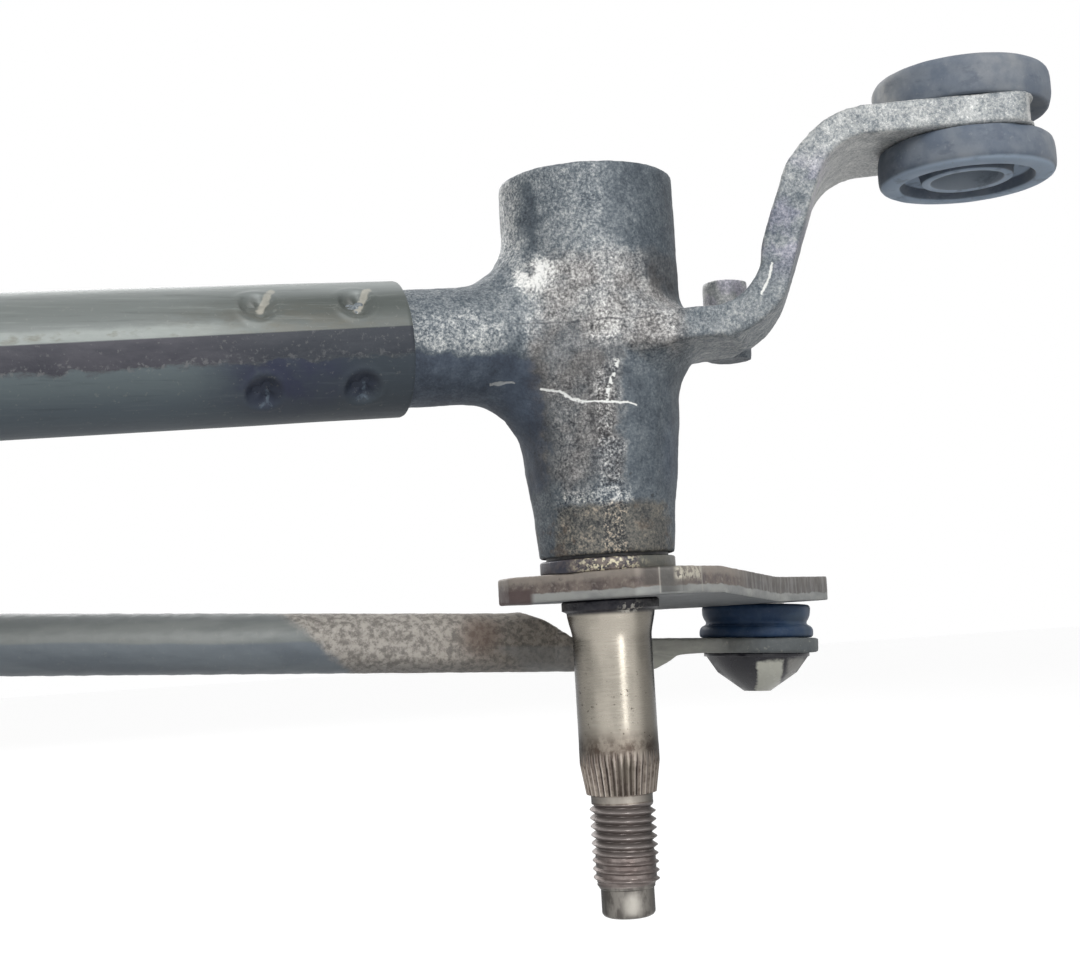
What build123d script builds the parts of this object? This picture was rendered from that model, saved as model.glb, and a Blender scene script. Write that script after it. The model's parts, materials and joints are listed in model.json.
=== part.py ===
"""Windshield wiper motor with its linkage.

A gear motor swings a crank through a quarter turn and back. Two link rods carry that swing to the
levers of two pivot shafts, which hold the wiper arms. Crank and levers have the same throw, so each
link rod stays parallel to itself. The frame is a steel tube crimped on two cast pivot housings.

Millimetres. The right-hand pivot shaft is the Z axis, with its arm end pointing down, and the origin
is on it at the upper end of the knurled cone. The frame tube runs along -X to the left-hand pivot.
"""

import os
from math import atan, cos, pi, radians, sin

from build123d import *

os.makedirs("parts", exist_ok=True)

# Pivots
PIVOT_SPAN = 460
LEFT_X = -PIVOT_SPAN
MIRROR = Plane.YZ.offset(-PIVOT_SPAN / 2)
RUNNING_GAP = 0.05
THIN_GAP = 0.1

# Pivot shaft: radii, then heights along Z
SHAFT_R = 6.0
TIP_R = 4.0
THREAD_R = 4.925
THREAD_ROOT_R = 4.2
KNURL_SMALL_R = 5.25
SEAT_R = 6.7
STAKED_R = 7.4
TIP_Z = -22.7
THREAD_END_Z = -18.0
THREAD_TOP_Z = -5.6
KNURL_Z = -4.6
PLAIN_TOP_Z = 18.6
FLARE_TOP_Z = 22.7
SHAFT_TOP_Z = 86.5
GROOVE_Z = 83.2
GROOVE_WIDTH = 1.2
GROOVE_DEPTH = 0.8
CLIP_PROUD = 2.0
EDGE = 0.7

# Lever plate: along its own centre line from the shaft
LEVER_THROW = 43.5
LEVER_THICK = 4.1
LEVER_Z = 24.4
LEVER_DROP = 1.8
LEVER_BEND = (8, 30)
LEVER_HEEL = -10.0
LEVER_SHOULDER = -5.9
LEVER_TOE = 56.0
HEEL_HALF = 11.6
SHOULDER_HALF = 16.9
TOE_HALF = 10.0
TOE_CHAMFER = 4.0
RIGHT_HEADING = 33
LEFT_HEADING = 65

# Pivot housing
RIM_Z = 31.0
RIM_R = 10.3
BARREL_R = 13.45
CONE_TOP_Z = 67.0
BARREL_TOP_Z = 88.8
BARREL_EDGE = 0.5
BUSH_R = 8.0
BUSH_LENGTH = 16.0
RELIEF_R = 6.8
LOWER_BUSH_Z = 33.0
UPPER_BUSH_Z = 66.0
SEAL_R = 9.3
SEAL_SEAT_Z = 32.6
TOP_WELL_R = 9.6
TOP_WELL_Z = 82.0
TOP_WASHER_THICK = 1.0
TOP_WASHER_R = 9.0
WASHER_GAP = 0.5
SEAL_PROUD = 0.4
SEAL_INNER_R = 6.4
NECK_FILLET = 9.5
LUG_R = 3.6
LUG_AT = (24.8, 3.6)
LUG_Z = (61.7, 74.4)

# Frame tube: its axis slopes down from each pivot to a level middle
TUBE_R = 10.0
TUBE_WALL = 1.25
STUB_GAP = 0.03
STUB_R = TUBE_R - TUBE_WALL - STUB_GAP
STUB_REACH = 62
TUBE_END_X = -31.3
TUBE_AXIS_Z = 64.2
TUBE_SLOPE = 0.0467
TUBE_BEND_X = -170
TUBE_BEND_R = 300
DIMPLE_X = (-38.8, -52.8)
DIMPLE_ANGLES = (43, -43, 137, -137)
DIMPLE_R = 2.3
DIMPLE_DEPTH = 1.0
DIMPLE_TAPER = 55

# Ear: a strap that leaves the barrel, rises and ends in an eye for the grommet
EAR_HEADING = -26.4
EAR_WIDTH = 24.6
EAR_THICK = 4.5
EAR_LOW_Z = 63.7
EAR_HIGH_Z = 91.5
EAR_RISE = (25.4, 35.4)
EAR_BEND_R = 10.6
EAR_EYE = 57.9
EAR_END = 67.3
EAR_CORNER = 5.0
ROOT_LOW_R = 5.0
ROOT_TOP_R = 4.4
ROOT_RUN_OUT = 10.0
EYE_R = 7.0

# Grommets
GROMMET_R = 13.1
GROMMET_BORE_R = 5.2
FLANGE_THICK = 5.7
FLANGE_EDGE = 2.0
FACE_RING = (8.4, 10.6)
FACE_RING_DEPTH = 1.2

# Ball joints: radii from the ball's axis, heights from the ball's centre
BALL_R = 6.0
BALL_Z = 15.5
STUD_GAP = LEVER_Z - LEVER_DROP - BALL_Z
STUD_NECK_R = 3.6
STUD_COLLAR_R = 5.2
STUD_COLLAR = 1.2
STUD_SHANK_R = 4.0
STUD_SHANK = 3.6
SOCKET_R = 7.5
SOCKET_RIM_R = 8.2
SOCKET_TOP = 3.0
DOME_R = 9.05
DOME_STEPS = ((-1.9, 1.0), (-4.6, 0.78), (-7.8, 0.26))
DOME_SIDES = 10
OPEN_JOINT_GAP = 0.3
BOOT_TOP = 6.3
BOOT_LIP_R = 5.7
BOOT_RING_R = 9.4
BOOT_WAIST_R = 8.7
BOOT_BEAD = 1.9
BOOT_FLARE = 0.2
BOOT_SHOULDER = 0.5
BOOT_WALL = 1.4

# Link rods: distances from each ball's centre
ROD_R = 4.9
BAR_LIFT = 0.6
LINK_RISE = 12.7
BLADE_HALF = 1.25
EYE_OUTER_R = 10.6
BLADE_WIDE = 8.0
BLADE_NECK = 4.7
TOP_RAMP = (34, 42)
BOTTOM_RAMP = (15.5, 20)
FACET = (36, 82)
FACET_DEPTH = 1.3

# Gear motor
MOTOR_X = -230
MOTOR_Y = 30
CRANK_BALL_Z = BALL_Z + LINK_RISE
CRANK_Z = CRANK_BALL_Z + STUD_GAP
CRANK_THICK = 4.5
CRANK_HUB_R = 11.5
CRANK_END_R = 9.5
NUT_R = 7.5
NUT_HEIGHT = 6.5
NUT_FLANGE_R = 9
NUT_FLANGE = 1.5
PLATE_Z = TUBE_AXIS_Z + TUBE_SLOPE * TUBE_BEND_X + TUBE_R
PLATE_THICK = 2.5
CASE_Z = PLATE_Z + PLATE_THICK
WORM_Z = CASE_Z + 11.5
CASE_R = 33.0
CASE_WALL = 2.5
CASE_FLOOR = 3.0
CASE_TOP_Z = CASE_Z + 23
BOSS_R = 11.0
BOSS_END_Z = 45.0
OUTPUT_R = 5.0
OUTPUT_BUSH_R = 7.5
OUTPUT_THREAD_R = 4.0
OUTPUT_END_Z = 27.0
OUTPUT_TOP_Z = CASE_TOP_Z - 1.0
COVER_THICK = 2.5
COVER_EAR_R = 4.6
COVER_EAR_AT = 34.5
COVER_EAR_ANGLES = (10, 150, 215, 325)
MOTOR_LUG_R = 7.5
MOTOR_LUG_AT = 39
MOTOR_LUG_ANGLES = (-12, -168, 32)
MOTOR_LUG_HEIGHT = 11
MOTOR_BOLT_R = 3.0

# Worm drive: one-start worm on a straight-toothed wheel
WHEEL_TEETH = 55
MODULE = 1.0
PITCH = MODULE * pi
WHEEL_PITCH_R = WHEEL_TEETH * MODULE / 2
WHEEL_FACE = 6.0
WHEEL_HUB_R = 12.0
WHEEL_HUB = 16
WHEEL_FLOAT = 0.5
TOOTH_DEPTH = 1.2 * MODULE
TOOTH_TIP = 0.9 * MODULE
TOOTH_ROOT = 0.5
WEB_HOLES = 6
WEB_HOLE_R = 3.5
WEB_HOLE_AT = 18
WORM_PITCH_R = 5.5
WORM_Y = MOTOR_Y + WHEEL_PITCH_R + WORM_PITCH_R
WORM_TURNS = 8
TOOTH_HALF = 0.56
FLANK = 0.36
WORM_CORE_R = 4.4
WORM_SUNK = 1.3
WORM_RUN_OUT = 1.5

# Armature and can, placed along X from the wheel's centre
TUNNEL_R = 10.5
TUNNEL_BORE_R = 7.3
TUNNEL_RIGHT_X = MOTOR_X + 30
FLANGE_X = MOTOR_X - 36
CASE_FLANGE = 4.0
CAN_R = 29.0
CAN_WALL = 1.6
CAN_LENGTH = 66
CAN_EAR_AT = 34.0
CAN_EAR_R = 5.5
ARMATURE_R = 4.0
CORE_R = 22.6
CORE_X = (-50, -20)
CORE_SLOTS = 12
SLOT_R = 2.7
SLOT_AT = 18.2
MAGNET_R = (23.4, 27.3)
MAGNET_ARC = 62
COMMUTATOR_R = 9.0
COMMUTATOR_X = (-17, -5)
BRUSH_LENGTH = 9.0
BRUSH_WIDE = 6.3
BRUSH_X = 7.5
BRUSH_HOLLOW = 0.4
BRUSH_BOX = (9.0, 10, 9.0)
BRUSH_BOX_BORE = 6.5
HOLDER_BACK = 3
HOLDER_THICK = 2.8
HOLDER_BORE_R = 11.0
CORE_MOUTH = 1.6
COIL_GAP = 0.2
COIL_LAP = 1
COIL_OUTER_R = 20.4
SEGMENT_SLOT = (2.4, 0.6)
CUP_R = 9.5
CUP_LENGTH = 8
CUP_WALL = 2
CUP_BUSH_R = 7.45
CUP_BUSH = 7
CUP_BUSH_X = 5.8
CAN_CORNER = 4
CAN_FLANGE = 2
CAN_SCREW_R = 2.05
CAN_SCREW_HEAD_R = 4
CAN_SCREW_HEAD = 3
CAN_SCREW_KEY_R = 1.8
CAN_SCREW_KEY = 1.5
SHAFT_INSET = 4
SHAFT_FLOAT = 1
CAN_FRONT_X = FLANGE_X - CASE_FLANGE
CAN_BACK_X = CAN_FRONT_X - CAN_LENGTH


def finish(piece, name):
    """Label a sub-part, write its STEP file and return its solid."""
    piece.part.label = name
    export_step(piece.part, f"parts/{name}.step")
    return piece.part


def upright(x, y=0):
    """The vertical plane through (x, y) with its own x along X and its own y along Z."""
    return Plane(origin=(x, y, 0), x_dir=(1, 0, 0), z_dir=(0, -1, 0))


def heading_plane(origin, heading):
    """A level plane at origin whose own x points along heading, in degrees from X."""
    angle = radians(heading)
    return Plane(origin=origin, x_dir=(cos(angle), sin(angle), 0), z_dir=(0, 0, 1))


def side_plane(origin, heading):
    """An upright plane at origin whose own x points along heading and whose own y is Z."""
    angle = radians(heading)
    return Plane(origin=origin, x_dir=(cos(angle), sin(angle), 0), z_dir=(sin(angle), -cos(angle), 0))


def turned(profile, plane, about=(0, 1)):
    """A solid turned about a line through the plane's origin from (radius, height) points."""
    axis = Axis(plane.origin, plane.from_local_coords(about) - plane.origin)
    with BuildPart() as piece:
        with BuildSketch(plane):
            with BuildLine():
                Polyline(*profile, close=True)
            make_face()
        revolve(axis=axis)
    return piece


def ring(x, y, low, high, inner, outer):
    """A flat ring around an upright axis."""
    with BuildPart() as piece:
        with BuildSketch(Plane((x, y, low))):
            Circle(outer)
            Circle(inner, mode=Mode.SUBTRACT)
        extrude(amount=high - low)
    return piece


def moved(part, x):
    """The same piece at another pivot."""
    with BuildPart() as piece:
        with Locations((x, 0, 0)):
            add(part)
    return piece


def mirrored(part):
    """The same piece handed for the other pivot."""
    with BuildPart() as piece:
        mirror(part, about=MIRROR)
    return piece


# Frame tube


def tube_height(x):
    """Height of the tube's axis at x, on the right-hand half."""
    return TUBE_AXIS_Z + TUBE_SLOPE * x


def dimple_planes():
    """Planes on the tube's surface where the crimping punches press, facing outward."""
    slope = atan(TUBE_SLOPE)
    for x in DIMPLE_X:
        for angle in DIMPLE_ANGLES:
            turn = radians(angle)
            out = Vector(-sin(slope) * sin(turn), -cos(turn), cos(slope) * sin(turn))
            yield Plane(origin=Vector(x, 0, tube_height(x)) + out * TUBE_R, z_dir=out)


def frame_tube():
    """Round tube with three straight runs, dimpled at both ends where it grips the housings."""
    bend = (TUBE_BEND_X, 0, tube_height(TUBE_BEND_X))
    right_end = (TUBE_END_X, 0, tube_height(TUBE_END_X))
    path = [right_end, bend, mirror_point(bend), mirror_point(right_end)]
    with BuildPart() as tube:
        with BuildLine() as axis:
            FilletPolyline(*path, radius=TUBE_BEND_R)
        with BuildSketch(Plane(origin=right_end, z_dir=axis.line % 0)):
            Circle(TUBE_R)
            Circle(TUBE_R - TUBE_WALL, mode=Mode.SUBTRACT)
        sweep(path=axis.line)
        for plane in dimple_planes():
            for place in (plane, mirror_plane(plane)):
                with BuildSketch(place):
                    Circle(DIMPLE_R)
                extrude(amount=-DIMPLE_DEPTH, taper=DIMPLE_TAPER, mode=Mode.SUBTRACT)
    return tube


def mirror_point(point):
    """The point's image at the other pivot."""
    x, y, z = point
    return (-PIVOT_SPAN - x, y, z)


def mirror_plane(plane):
    """The plane's image at the other pivot."""
    out = plane.z_dir
    return Plane(origin=mirror_point(tuple(plane.origin)), z_dir=(-out.X, out.Y, out.Z))


# Pivot housing


def barrel_radius(z):
    """The barrel's radius at a height."""
    share = min((z - RIM_Z) / (CONE_TOP_Z - RIM_Z), 1)
    return RIM_R + share * (BARREL_R - RIM_R)


def barrel_and_neck(housing):
    """Tapered barrel, and the neck that plugs into the tube and flares into the barrel."""
    with BuildSketch(Plane.XZ) as section:
        with BuildLine():
            Polyline(
                (0, RIM_Z), (RIM_R, RIM_Z), (BARREL_R, CONE_TOP_Z), (BARREL_R, BARREL_TOP_Z),
                (0, BARREL_TOP_Z), close=True,
            )
        make_face()
    revolve(section.sketch, axis=Axis.Z)
    run = Vector(-1, 0, -TUBE_SLOPE).normalized()
    with BuildSketch(Plane(origin=(0, 0, TUBE_AXIS_Z), x_dir=(0, 1, 0), z_dir=run)) as stub:
        Circle(STUB_R)
    extrude(stub.sketch, amount=STUB_REACH)
    fillet(housing.edges(Select.NEW), radius=NECK_FILLET)
    rims = housing.edges().filter_by(GeomType.CIRCLE).group_by(Axis.Z)[-1]
    fillet(rims, radius=BARREL_EDGE)


def ear(housing):
    """S-shaped strap with a rounded end and an eye, as one sweep of its flat section."""
    side = side_plane((0, 0, 0), EAR_HEADING)
    low, high = EAR_RISE
    route = [(0, EAR_LOW_Z), (low, EAR_LOW_Z), (high, EAR_HIGH_Z), (EAR_END, EAR_HIGH_Z)]
    points = [side.from_local_coords(point) for point in route]
    with BuildLine() as path:
        FilletPolyline(*points, radius=EAR_BEND_R)
    with BuildSketch(Plane(origin=points[0], x_dir=side.z_dir, z_dir=side.x_dir)) as section:
        Rectangle(EAR_WIDTH, EAR_THICK)
    sweep(section.sketch, path=path.line)
    end = housing.edges().filter_by(Axis.Z).sort_by(Axis(side.origin, side.x_dir))[-2:]
    fillet(end, radius=EAR_CORNER)
    eye = heading_plane((0, 0, EAR_HIGH_Z - EAR_THICK), EAR_HEADING)
    with BuildSketch(Plane(eye.from_local_coords((EAR_EYE, 0)), z_dir=(0, 0, 1))) as hole:
        Circle(EYE_R)
    extrude(hole.sketch, amount=2 * EAR_THICK, mode=Mode.SUBTRACT)


def root_cove(edge_z, wall, radius, run_out):
    """Cove between the barrel and one face of the ear, running out towards the ear's front edge."""
    side = heading_plane((0, 0, 0), EAR_HEADING)
    reach = BARREL_R + 2 * radius
    far_z = edge_z + 2 * radius * (1 if edge_z > EAR_LOW_Z else -1)
    half = EAR_WIDTH / 2
    across = Plane(origin=(0, 0, 0), x_dir=side.y_dir, z_dir=side.x_dir)
    with BuildPart() as cove:
        with BuildSketch(Plane.XZ) as section:
            with BuildLine():
                Polyline(
                    (0, EAR_LOW_Z), (reach, EAR_LOW_Z), (reach, edge_z), (wall(edge_z), edge_z),
                    (wall(far_z), far_z), (0, far_z), close=True,
                )
            make_face()
            corner = section.vertices().sort_by_distance((wall(edge_z), edge_z))[0]
            fillet(corner, radius=radius)
        revolve(axis=Axis.Z)
        with BuildSketch(across):
            with BuildLine():
                Polyline(
                    (-half, EAR_LOW_Z), (-half, edge_z), (run_out - half, far_z), (half, far_z),
                    (half, EAR_LOW_Z), close=True,
                )
            make_face()
        extrude(amount=reach, mode=Mode.INTERSECT)
    return cove.part


def pivot_bores():
    """Seal seat, bush seats, relief and top well, cut from the rim upward."""
    steps = (
        (RIM_Z, SEAL_SEAT_Z, SEAL_R),
        (SEAL_SEAT_Z, LOWER_BUSH_Z + BUSH_LENGTH, BUSH_R),
        (LOWER_BUSH_Z + BUSH_LENGTH, UPPER_BUSH_Z, RELIEF_R),
        (UPPER_BUSH_Z, TOP_WELL_Z, BUSH_R),
        (TOP_WELL_Z, BARREL_TOP_Z, TOP_WELL_R),
    )
    for low, high, radius in steps:
        with BuildSketch(Plane.XY.offset(low)) as bore:
            Circle(radius)
        extrude(bore.sketch, amount=high - low, mode=Mode.SUBTRACT)


def pivot_housing():
    """One casting: barrel, neck, ear and a small locating lug beside the ear's root."""
    with BuildPart() as housing:
        barrel_and_neck(housing)
        ear(housing)
        half = EAR_THICK / 2
        add(root_cove(EAR_LOW_Z - half, barrel_radius, ROOT_LOW_R, ROOT_RUN_OUT))
        add(root_cove(EAR_LOW_Z + half, lambda z: BARREL_R, ROOT_TOP_R, 0))
        low, high = LUG_Z
        with BuildSketch(Plane((*LUG_AT, low))):
            Circle(LUG_R)
        extrude(amount=high - low)
        pivot_bores()
    return housing


# Pivot shaft and what turns with it


def pivot_shaft():
    """Turned shaft: pilot tip, thread stretch, knurled cone, flare, lever seat and bearing stretch."""
    groove_r = SHAFT_R - GROOVE_DEPTH
    profile = (
        (0, TIP_Z), (TIP_R - EDGE, TIP_Z), (TIP_R, TIP_Z + EDGE), (TIP_R, THREAD_END_Z),
        (THREAD_ROOT_R, THREAD_END_Z), (THREAD_R, THREAD_END_Z + EDGE),
        (THREAD_R, THREAD_TOP_Z - EDGE), (THREAD_ROOT_R, THREAD_TOP_Z), (THREAD_ROOT_R, KNURL_Z),
        (KNURL_SMALL_R, KNURL_Z), (SHAFT_R, 0), (SHAFT_R, PLAIN_TOP_Z), (SEAT_R, FLARE_TOP_Z),
        (STAKED_R, FLARE_TOP_Z + EDGE / 2), (STAKED_R, LEVER_Z), (SEAT_R, LEVER_Z),
        (SEAT_R, LEVER_Z + LEVER_THICK), (SHAFT_R, LEVER_Z + LEVER_THICK), (SHAFT_R, GROOVE_Z),
        (groove_r, GROOVE_Z), (groove_r, GROOVE_Z + GROOVE_WIDTH),
        (SHAFT_R, GROOVE_Z + GROOVE_WIDTH), (SHAFT_R, SHAFT_TOP_Z - EDGE),
        (SHAFT_R - EDGE, SHAFT_TOP_Z), (0, SHAFT_TOP_Z),
    )
    return turned(profile, upright(0))


def lever(x, heading):
    """Pressed plate: blunt heel, tapered sides, and a bend that lowers the ball end."""
    level = heading_plane((x, 0, LEVER_Z), heading)
    side = side_plane((x, 0, LEVER_Z), heading)
    start, stop = LEVER_BEND
    half = [
        (LEVER_HEEL, HEEL_HALF), (LEVER_SHOULDER, SHOULDER_HALF),
        (LEVER_TOE - TOE_CHAMFER, TOE_HALF), (LEVER_TOE, TOE_HALF - TOE_CHAMFER),
    ]
    bottom = [(LEVER_HEEL, 0), (start, 0), (stop, -LEVER_DROP), (LEVER_TOE, -LEVER_DROP)]
    top = [(u, z + LEVER_THICK) for u, z in reversed(bottom)]
    with BuildPart() as plate:
        with BuildSketch(side):
            with BuildLine():
                Polyline(*bottom, *top, close=True)
            make_face()
        extrude(amount=SHOULDER_HALF + 1, both=True)
        with BuildSketch(level.offset(-2 * LEVER_THICK)):
            with BuildLine():
                Polyline(*half, *[(u, -v) for u, v in reversed(half)], close=True)
            make_face()
        extrude(amount=4 * LEVER_THICK, mode=Mode.INTERSECT)
        with BuildSketch(level.offset(-2 * LEVER_THICK)):
            Circle(SEAT_R)
            with Locations((LEVER_THROW, 0)):
                Circle(STUD_SHANK_R)
        extrude(amount=4 * LEVER_THICK, mode=Mode.SUBTRACT)
    return plate


def retaining_ring(x, y, low, groove_r, outer):
    """Open ring that snaps into a groove."""
    with BuildPart() as piece:
        with BuildSketch(Plane((x, y, low))):
            Circle(outer)
            Circle(groove_r + RUNNING_GAP, mode=Mode.SUBTRACT)
            with Locations((outer, 0)):
                Rectangle(outer, groove_r, mode=Mode.SUBTRACT)
        extrude(amount=GROOVE_WIDTH - THIN_GAP)
    return piece


# Ball joints and link rods


def ball_stud(x, y, z, shank):
    """Ball, neck, collar and the shank that is riveted flush in the plate above."""
    collar_z = STUD_GAP - STUD_COLLAR
    profile = (
        (0, 0), (STUD_NECK_R, 0), (STUD_NECK_R, collar_z), (STUD_COLLAR_R, collar_z),
        (STUD_COLLAR_R, STUD_GAP), (STUD_SHANK_R, STUD_GAP), (STUD_SHANK_R, STUD_GAP + shank),
        (0, STUD_GAP + shank),
    )
    stem = turned([(r, z + h) for r, h in profile], upright(x, y))
    with BuildPart() as stud:
        add(stem.part)
        with Locations((x, y, z)):
            Sphere(BALL_R)
    return stud


def link_plane(ball, other):
    """The link rod's own plane at one ball: own x towards the other ball, own z upward."""
    run = Vector(*other) - Vector(*ball)
    across = Vector(0, 0, 1).cross(run)
    return Plane(origin=ball, x_dir=run, z_dir=run.cross(across))


def own_side(plane):
    """The upright plane through a link rod's axis, with its own y along the rod's normal."""
    return Plane(origin=plane.origin, x_dir=plane.x_dir, z_dir=plane.x_dir.cross(plane.z_dir))


def blade_end(plane):
    """Flattened eye at one end of a link rod: cut the round bar away, then add the blade."""
    side = own_side(plane)
    reach = 2 * EYE_OUTER_R
    low, high = TOP_RAMP
    near, far = BOTTOM_RAMP
    cuts = (
        [(-reach, BLADE_HALF), (low, BLADE_HALF), (high, BAR_LIFT + ROD_R), (high, reach),
         (-reach, reach)],
        [(-reach, -BLADE_HALF), (near, -BLADE_HALF), (far, BAR_LIFT - ROD_R), (far, -reach),
         (-reach, -reach)],
    )
    for cut in cuts:
        with BuildSketch(side) as waste:
            with BuildLine():
                Polyline(*cut, close=True)
            make_face()
        extrude(waste.sketch, amount=reach, both=True, mode=Mode.SUBTRACT)
    with BuildSketch(plane.offset(-BLADE_HALF)) as blade:
        Circle(EYE_OUTER_R)
        with BuildLine():
            Polyline(
                (0, -BLADE_WIDE), (low, -BLADE_NECK), (low, BLADE_NECK), (0, BLADE_WIDE), close=True,
            )
        make_face()
    extrude(blade.sketch, amount=2 * BLADE_HALF)
    with BuildSketch(plane.offset(-BLADE_HALF)) as eye:
        Circle(SOCKET_R)
    extrude(eye.sketch, amount=2 * BLADE_HALF, mode=Mode.SUBTRACT)


def front_facet(plane):
    """Shallow flat where the press squeezed the bar on its way to the blade."""
    near, far = FACET
    side = ROD_R if plane.y_dir.Y < 0 else -ROD_R
    deep = side * (1 - FACET_DEPTH / ROD_R)
    with BuildSketch(plane.offset(BAR_LIFT - ROD_R)) as waste:
        with BuildLine():
            Polyline((far, side), (near, deep), (near, 2 * side), (far, 2 * side), close=True)
        make_face()
    extrude(waste.sketch, amount=2 * ROD_R, mode=Mode.SUBTRACT)


def link_rod(ball, other):
    """Round bar with a flattened eye at each end."""
    plane = link_plane(ball, other)
    length = (Vector(*other) - Vector(*ball)).length
    with BuildPart() as rod:
        with BuildSketch(Plane(origin=plane.offset(BAR_LIFT).origin, z_dir=plane.x_dir)):
            Circle(ROD_R)
        extrude(amount=length)
        for end in (plane, link_plane(other, ball)):
            blade_end(end)
            front_facet(end)
    return rod


def socket(plane, gap):
    """Plastic ball socket: rim above the blade, faceted dome below, round cavity for the ball."""
    axis = own_side(plane)
    profile = (
        (0, DOME_STEPS[0][0]), (DOME_R, DOME_STEPS[0][0]), (DOME_R, -BLADE_HALF),
        (SOCKET_R, -BLADE_HALF), (SOCKET_R, BLADE_HALF), (SOCKET_RIM_R, BLADE_HALF),
        (SOCKET_RIM_R, SOCKET_TOP), (0, SOCKET_TOP),
    )
    body = turned(profile, axis)
    with BuildPart() as piece:
        add(body.part)
        for (upper, wide), (lower, narrow) in zip(DOME_STEPS, DOME_STEPS[1:]):
            with BuildSketch(plane.offset(upper)):
                RegularPolygon(DOME_R * wide, DOME_SIDES)
            with BuildSketch(plane.offset(lower)):
                RegularPolygon(DOME_R * narrow, DOME_SIDES)
            loft()
        with Locations(plane):
            Sphere(BALL_R + gap, mode=Mode.SUBTRACT)
    return piece


def boot(plane):
    """Rubber boot: two beads with a waist between them, hollow inside."""
    low_bead_z = BLADE_HALF + BOOT_BEAD
    high_bead_z = BOOT_TOP - BOOT_BEAD
    inner = SOCKET_RIM_R + RUNNING_GAP
    profile = (
        (inner, BLADE_HALF + RUNNING_GAP), (BOOT_RING_R + BOOT_FLARE, BLADE_HALF + RUNNING_GAP),
        (BOOT_RING_R + BOOT_FLARE, low_bead_z), (BOOT_WAIST_R, low_bead_z + BOOT_SHOULDER),
        (BOOT_WAIST_R, high_bead_z - BOOT_SHOULDER), (BOOT_RING_R - BOOT_FLARE, high_bead_z),
        (BOOT_RING_R - BOOT_FLARE, BOOT_TOP), (BOOT_LIP_R, BOOT_TOP),
        (BOOT_LIP_R, BOOT_TOP - BOOT_BEAD / 2), (BOOT_WAIST_R - BOOT_WALL, high_bead_z),
        (BOOT_WAIST_R - BOOT_WALL, SOCKET_TOP + RUNNING_GAP), (inner, SOCKET_TOP + RUNNING_GAP),
    )
    return turned(profile, own_side(plane))


# Grommets


def grommet(x, y, middle, groove):
    """Rubber bush with two flanges, a groove for its plate and a moulded ring on each face."""
    half = groove / 2
    top = half + FLANGE_THICK
    inner, outer = FACE_RING
    profile = (
        (GROMMET_BORE_R, -top), (GROMMET_R, -top), (GROMMET_R, -half), (EYE_R, -half),
        (EYE_R, half), (GROMMET_R, half), (GROMMET_R, top), (GROMMET_BORE_R, top),
    )
    body = turned([(r, middle + h) for r, h in profile], upright(x, y))
    with BuildPart() as piece:
        add(body.part)
        rims = piece.edges().filter_by(GeomType.CIRCLE).group_by(SortBy.RADIUS)[-1]
        fillet(rims, radius=FLANGE_EDGE)
        for face_z in (middle - top, middle + top - FACE_RING_DEPTH):
            with BuildSketch(Plane((x, y, face_z))):
                Circle(outer)
                Circle(inner, mode=Mode.SUBTRACT)
            extrude(amount=FACE_RING_DEPTH, mode=Mode.SUBTRACT)
    return piece


# Motor bracket

BRACKET_EAR_Y = -36
LIP_HALF_LENGTH = 30
LIP_DEPTH = 14
PLATE_MARGIN = 1
BOSS_MARGIN = 8
BOLT_HEAD_R = 5.4
BOLT_HEAD = 5.0
BOLT_FLANGE_R = 6.6
BOLT_FLANGE = 1.2
BOLT_END_GAP = 1


def lug_places(distance, angles):
    """Points around the output shaft."""
    return [
        (MOTOR_X + distance * cos(radians(a)), MOTOR_Y + distance * sin(radians(a))) for a in angles
    ]


def motor_bracket():
    """Pressed plate on the tube with two lips that hug it, an ear for a grommet and bolt holes."""
    lugs = lug_places(MOTOR_LUG_AT, MOTOR_LUG_ANGLES)
    with BuildPart() as bracket:
        with BuildSketch(Plane.XY.offset(PLATE_Z)):
            for place in lugs:
                with Locations(place):
                    Circle(MOTOR_LUG_R + PLATE_MARGIN)
            with Locations((MOTOR_X, MOTOR_Y)):
                Circle(BOSS_R + BOSS_MARGIN)
            make_hull()
            with Locations((MOTOR_X, 0)):
                Rectangle(2 * LIP_HALF_LENGTH, 2 * (TUBE_R + PLATE_THICK))
            with Locations((MOTOR_X, BRACKET_EAR_Y / 2)):
                Rectangle(EAR_WIDTH, -BRACKET_EAR_Y)
            with Locations((MOTOR_X, BRACKET_EAR_Y)):
                Circle(EAR_WIDTH / 2)
                Circle(EYE_R, mode=Mode.SUBTRACT)
            with Locations((MOTOR_X, MOTOR_Y)):
                Circle(BOSS_R + PLATE_MARGIN, mode=Mode.SUBTRACT)
            with Locations(*lugs):
                Circle(MOTOR_BOLT_R + 2 * THIN_GAP, mode=Mode.SUBTRACT)
        extrude(amount=PLATE_THICK)
        with BuildSketch(Plane.XY.offset(PLATE_Z)):
            for side in (-1, 1):
                with Locations((MOTOR_X, side * (TUBE_R + PLATE_THICK / 2))):
                    Rectangle(2 * LIP_HALF_LENGTH, PLATE_THICK)
        extrude(amount=-LIP_DEPTH)
    return bracket


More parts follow.
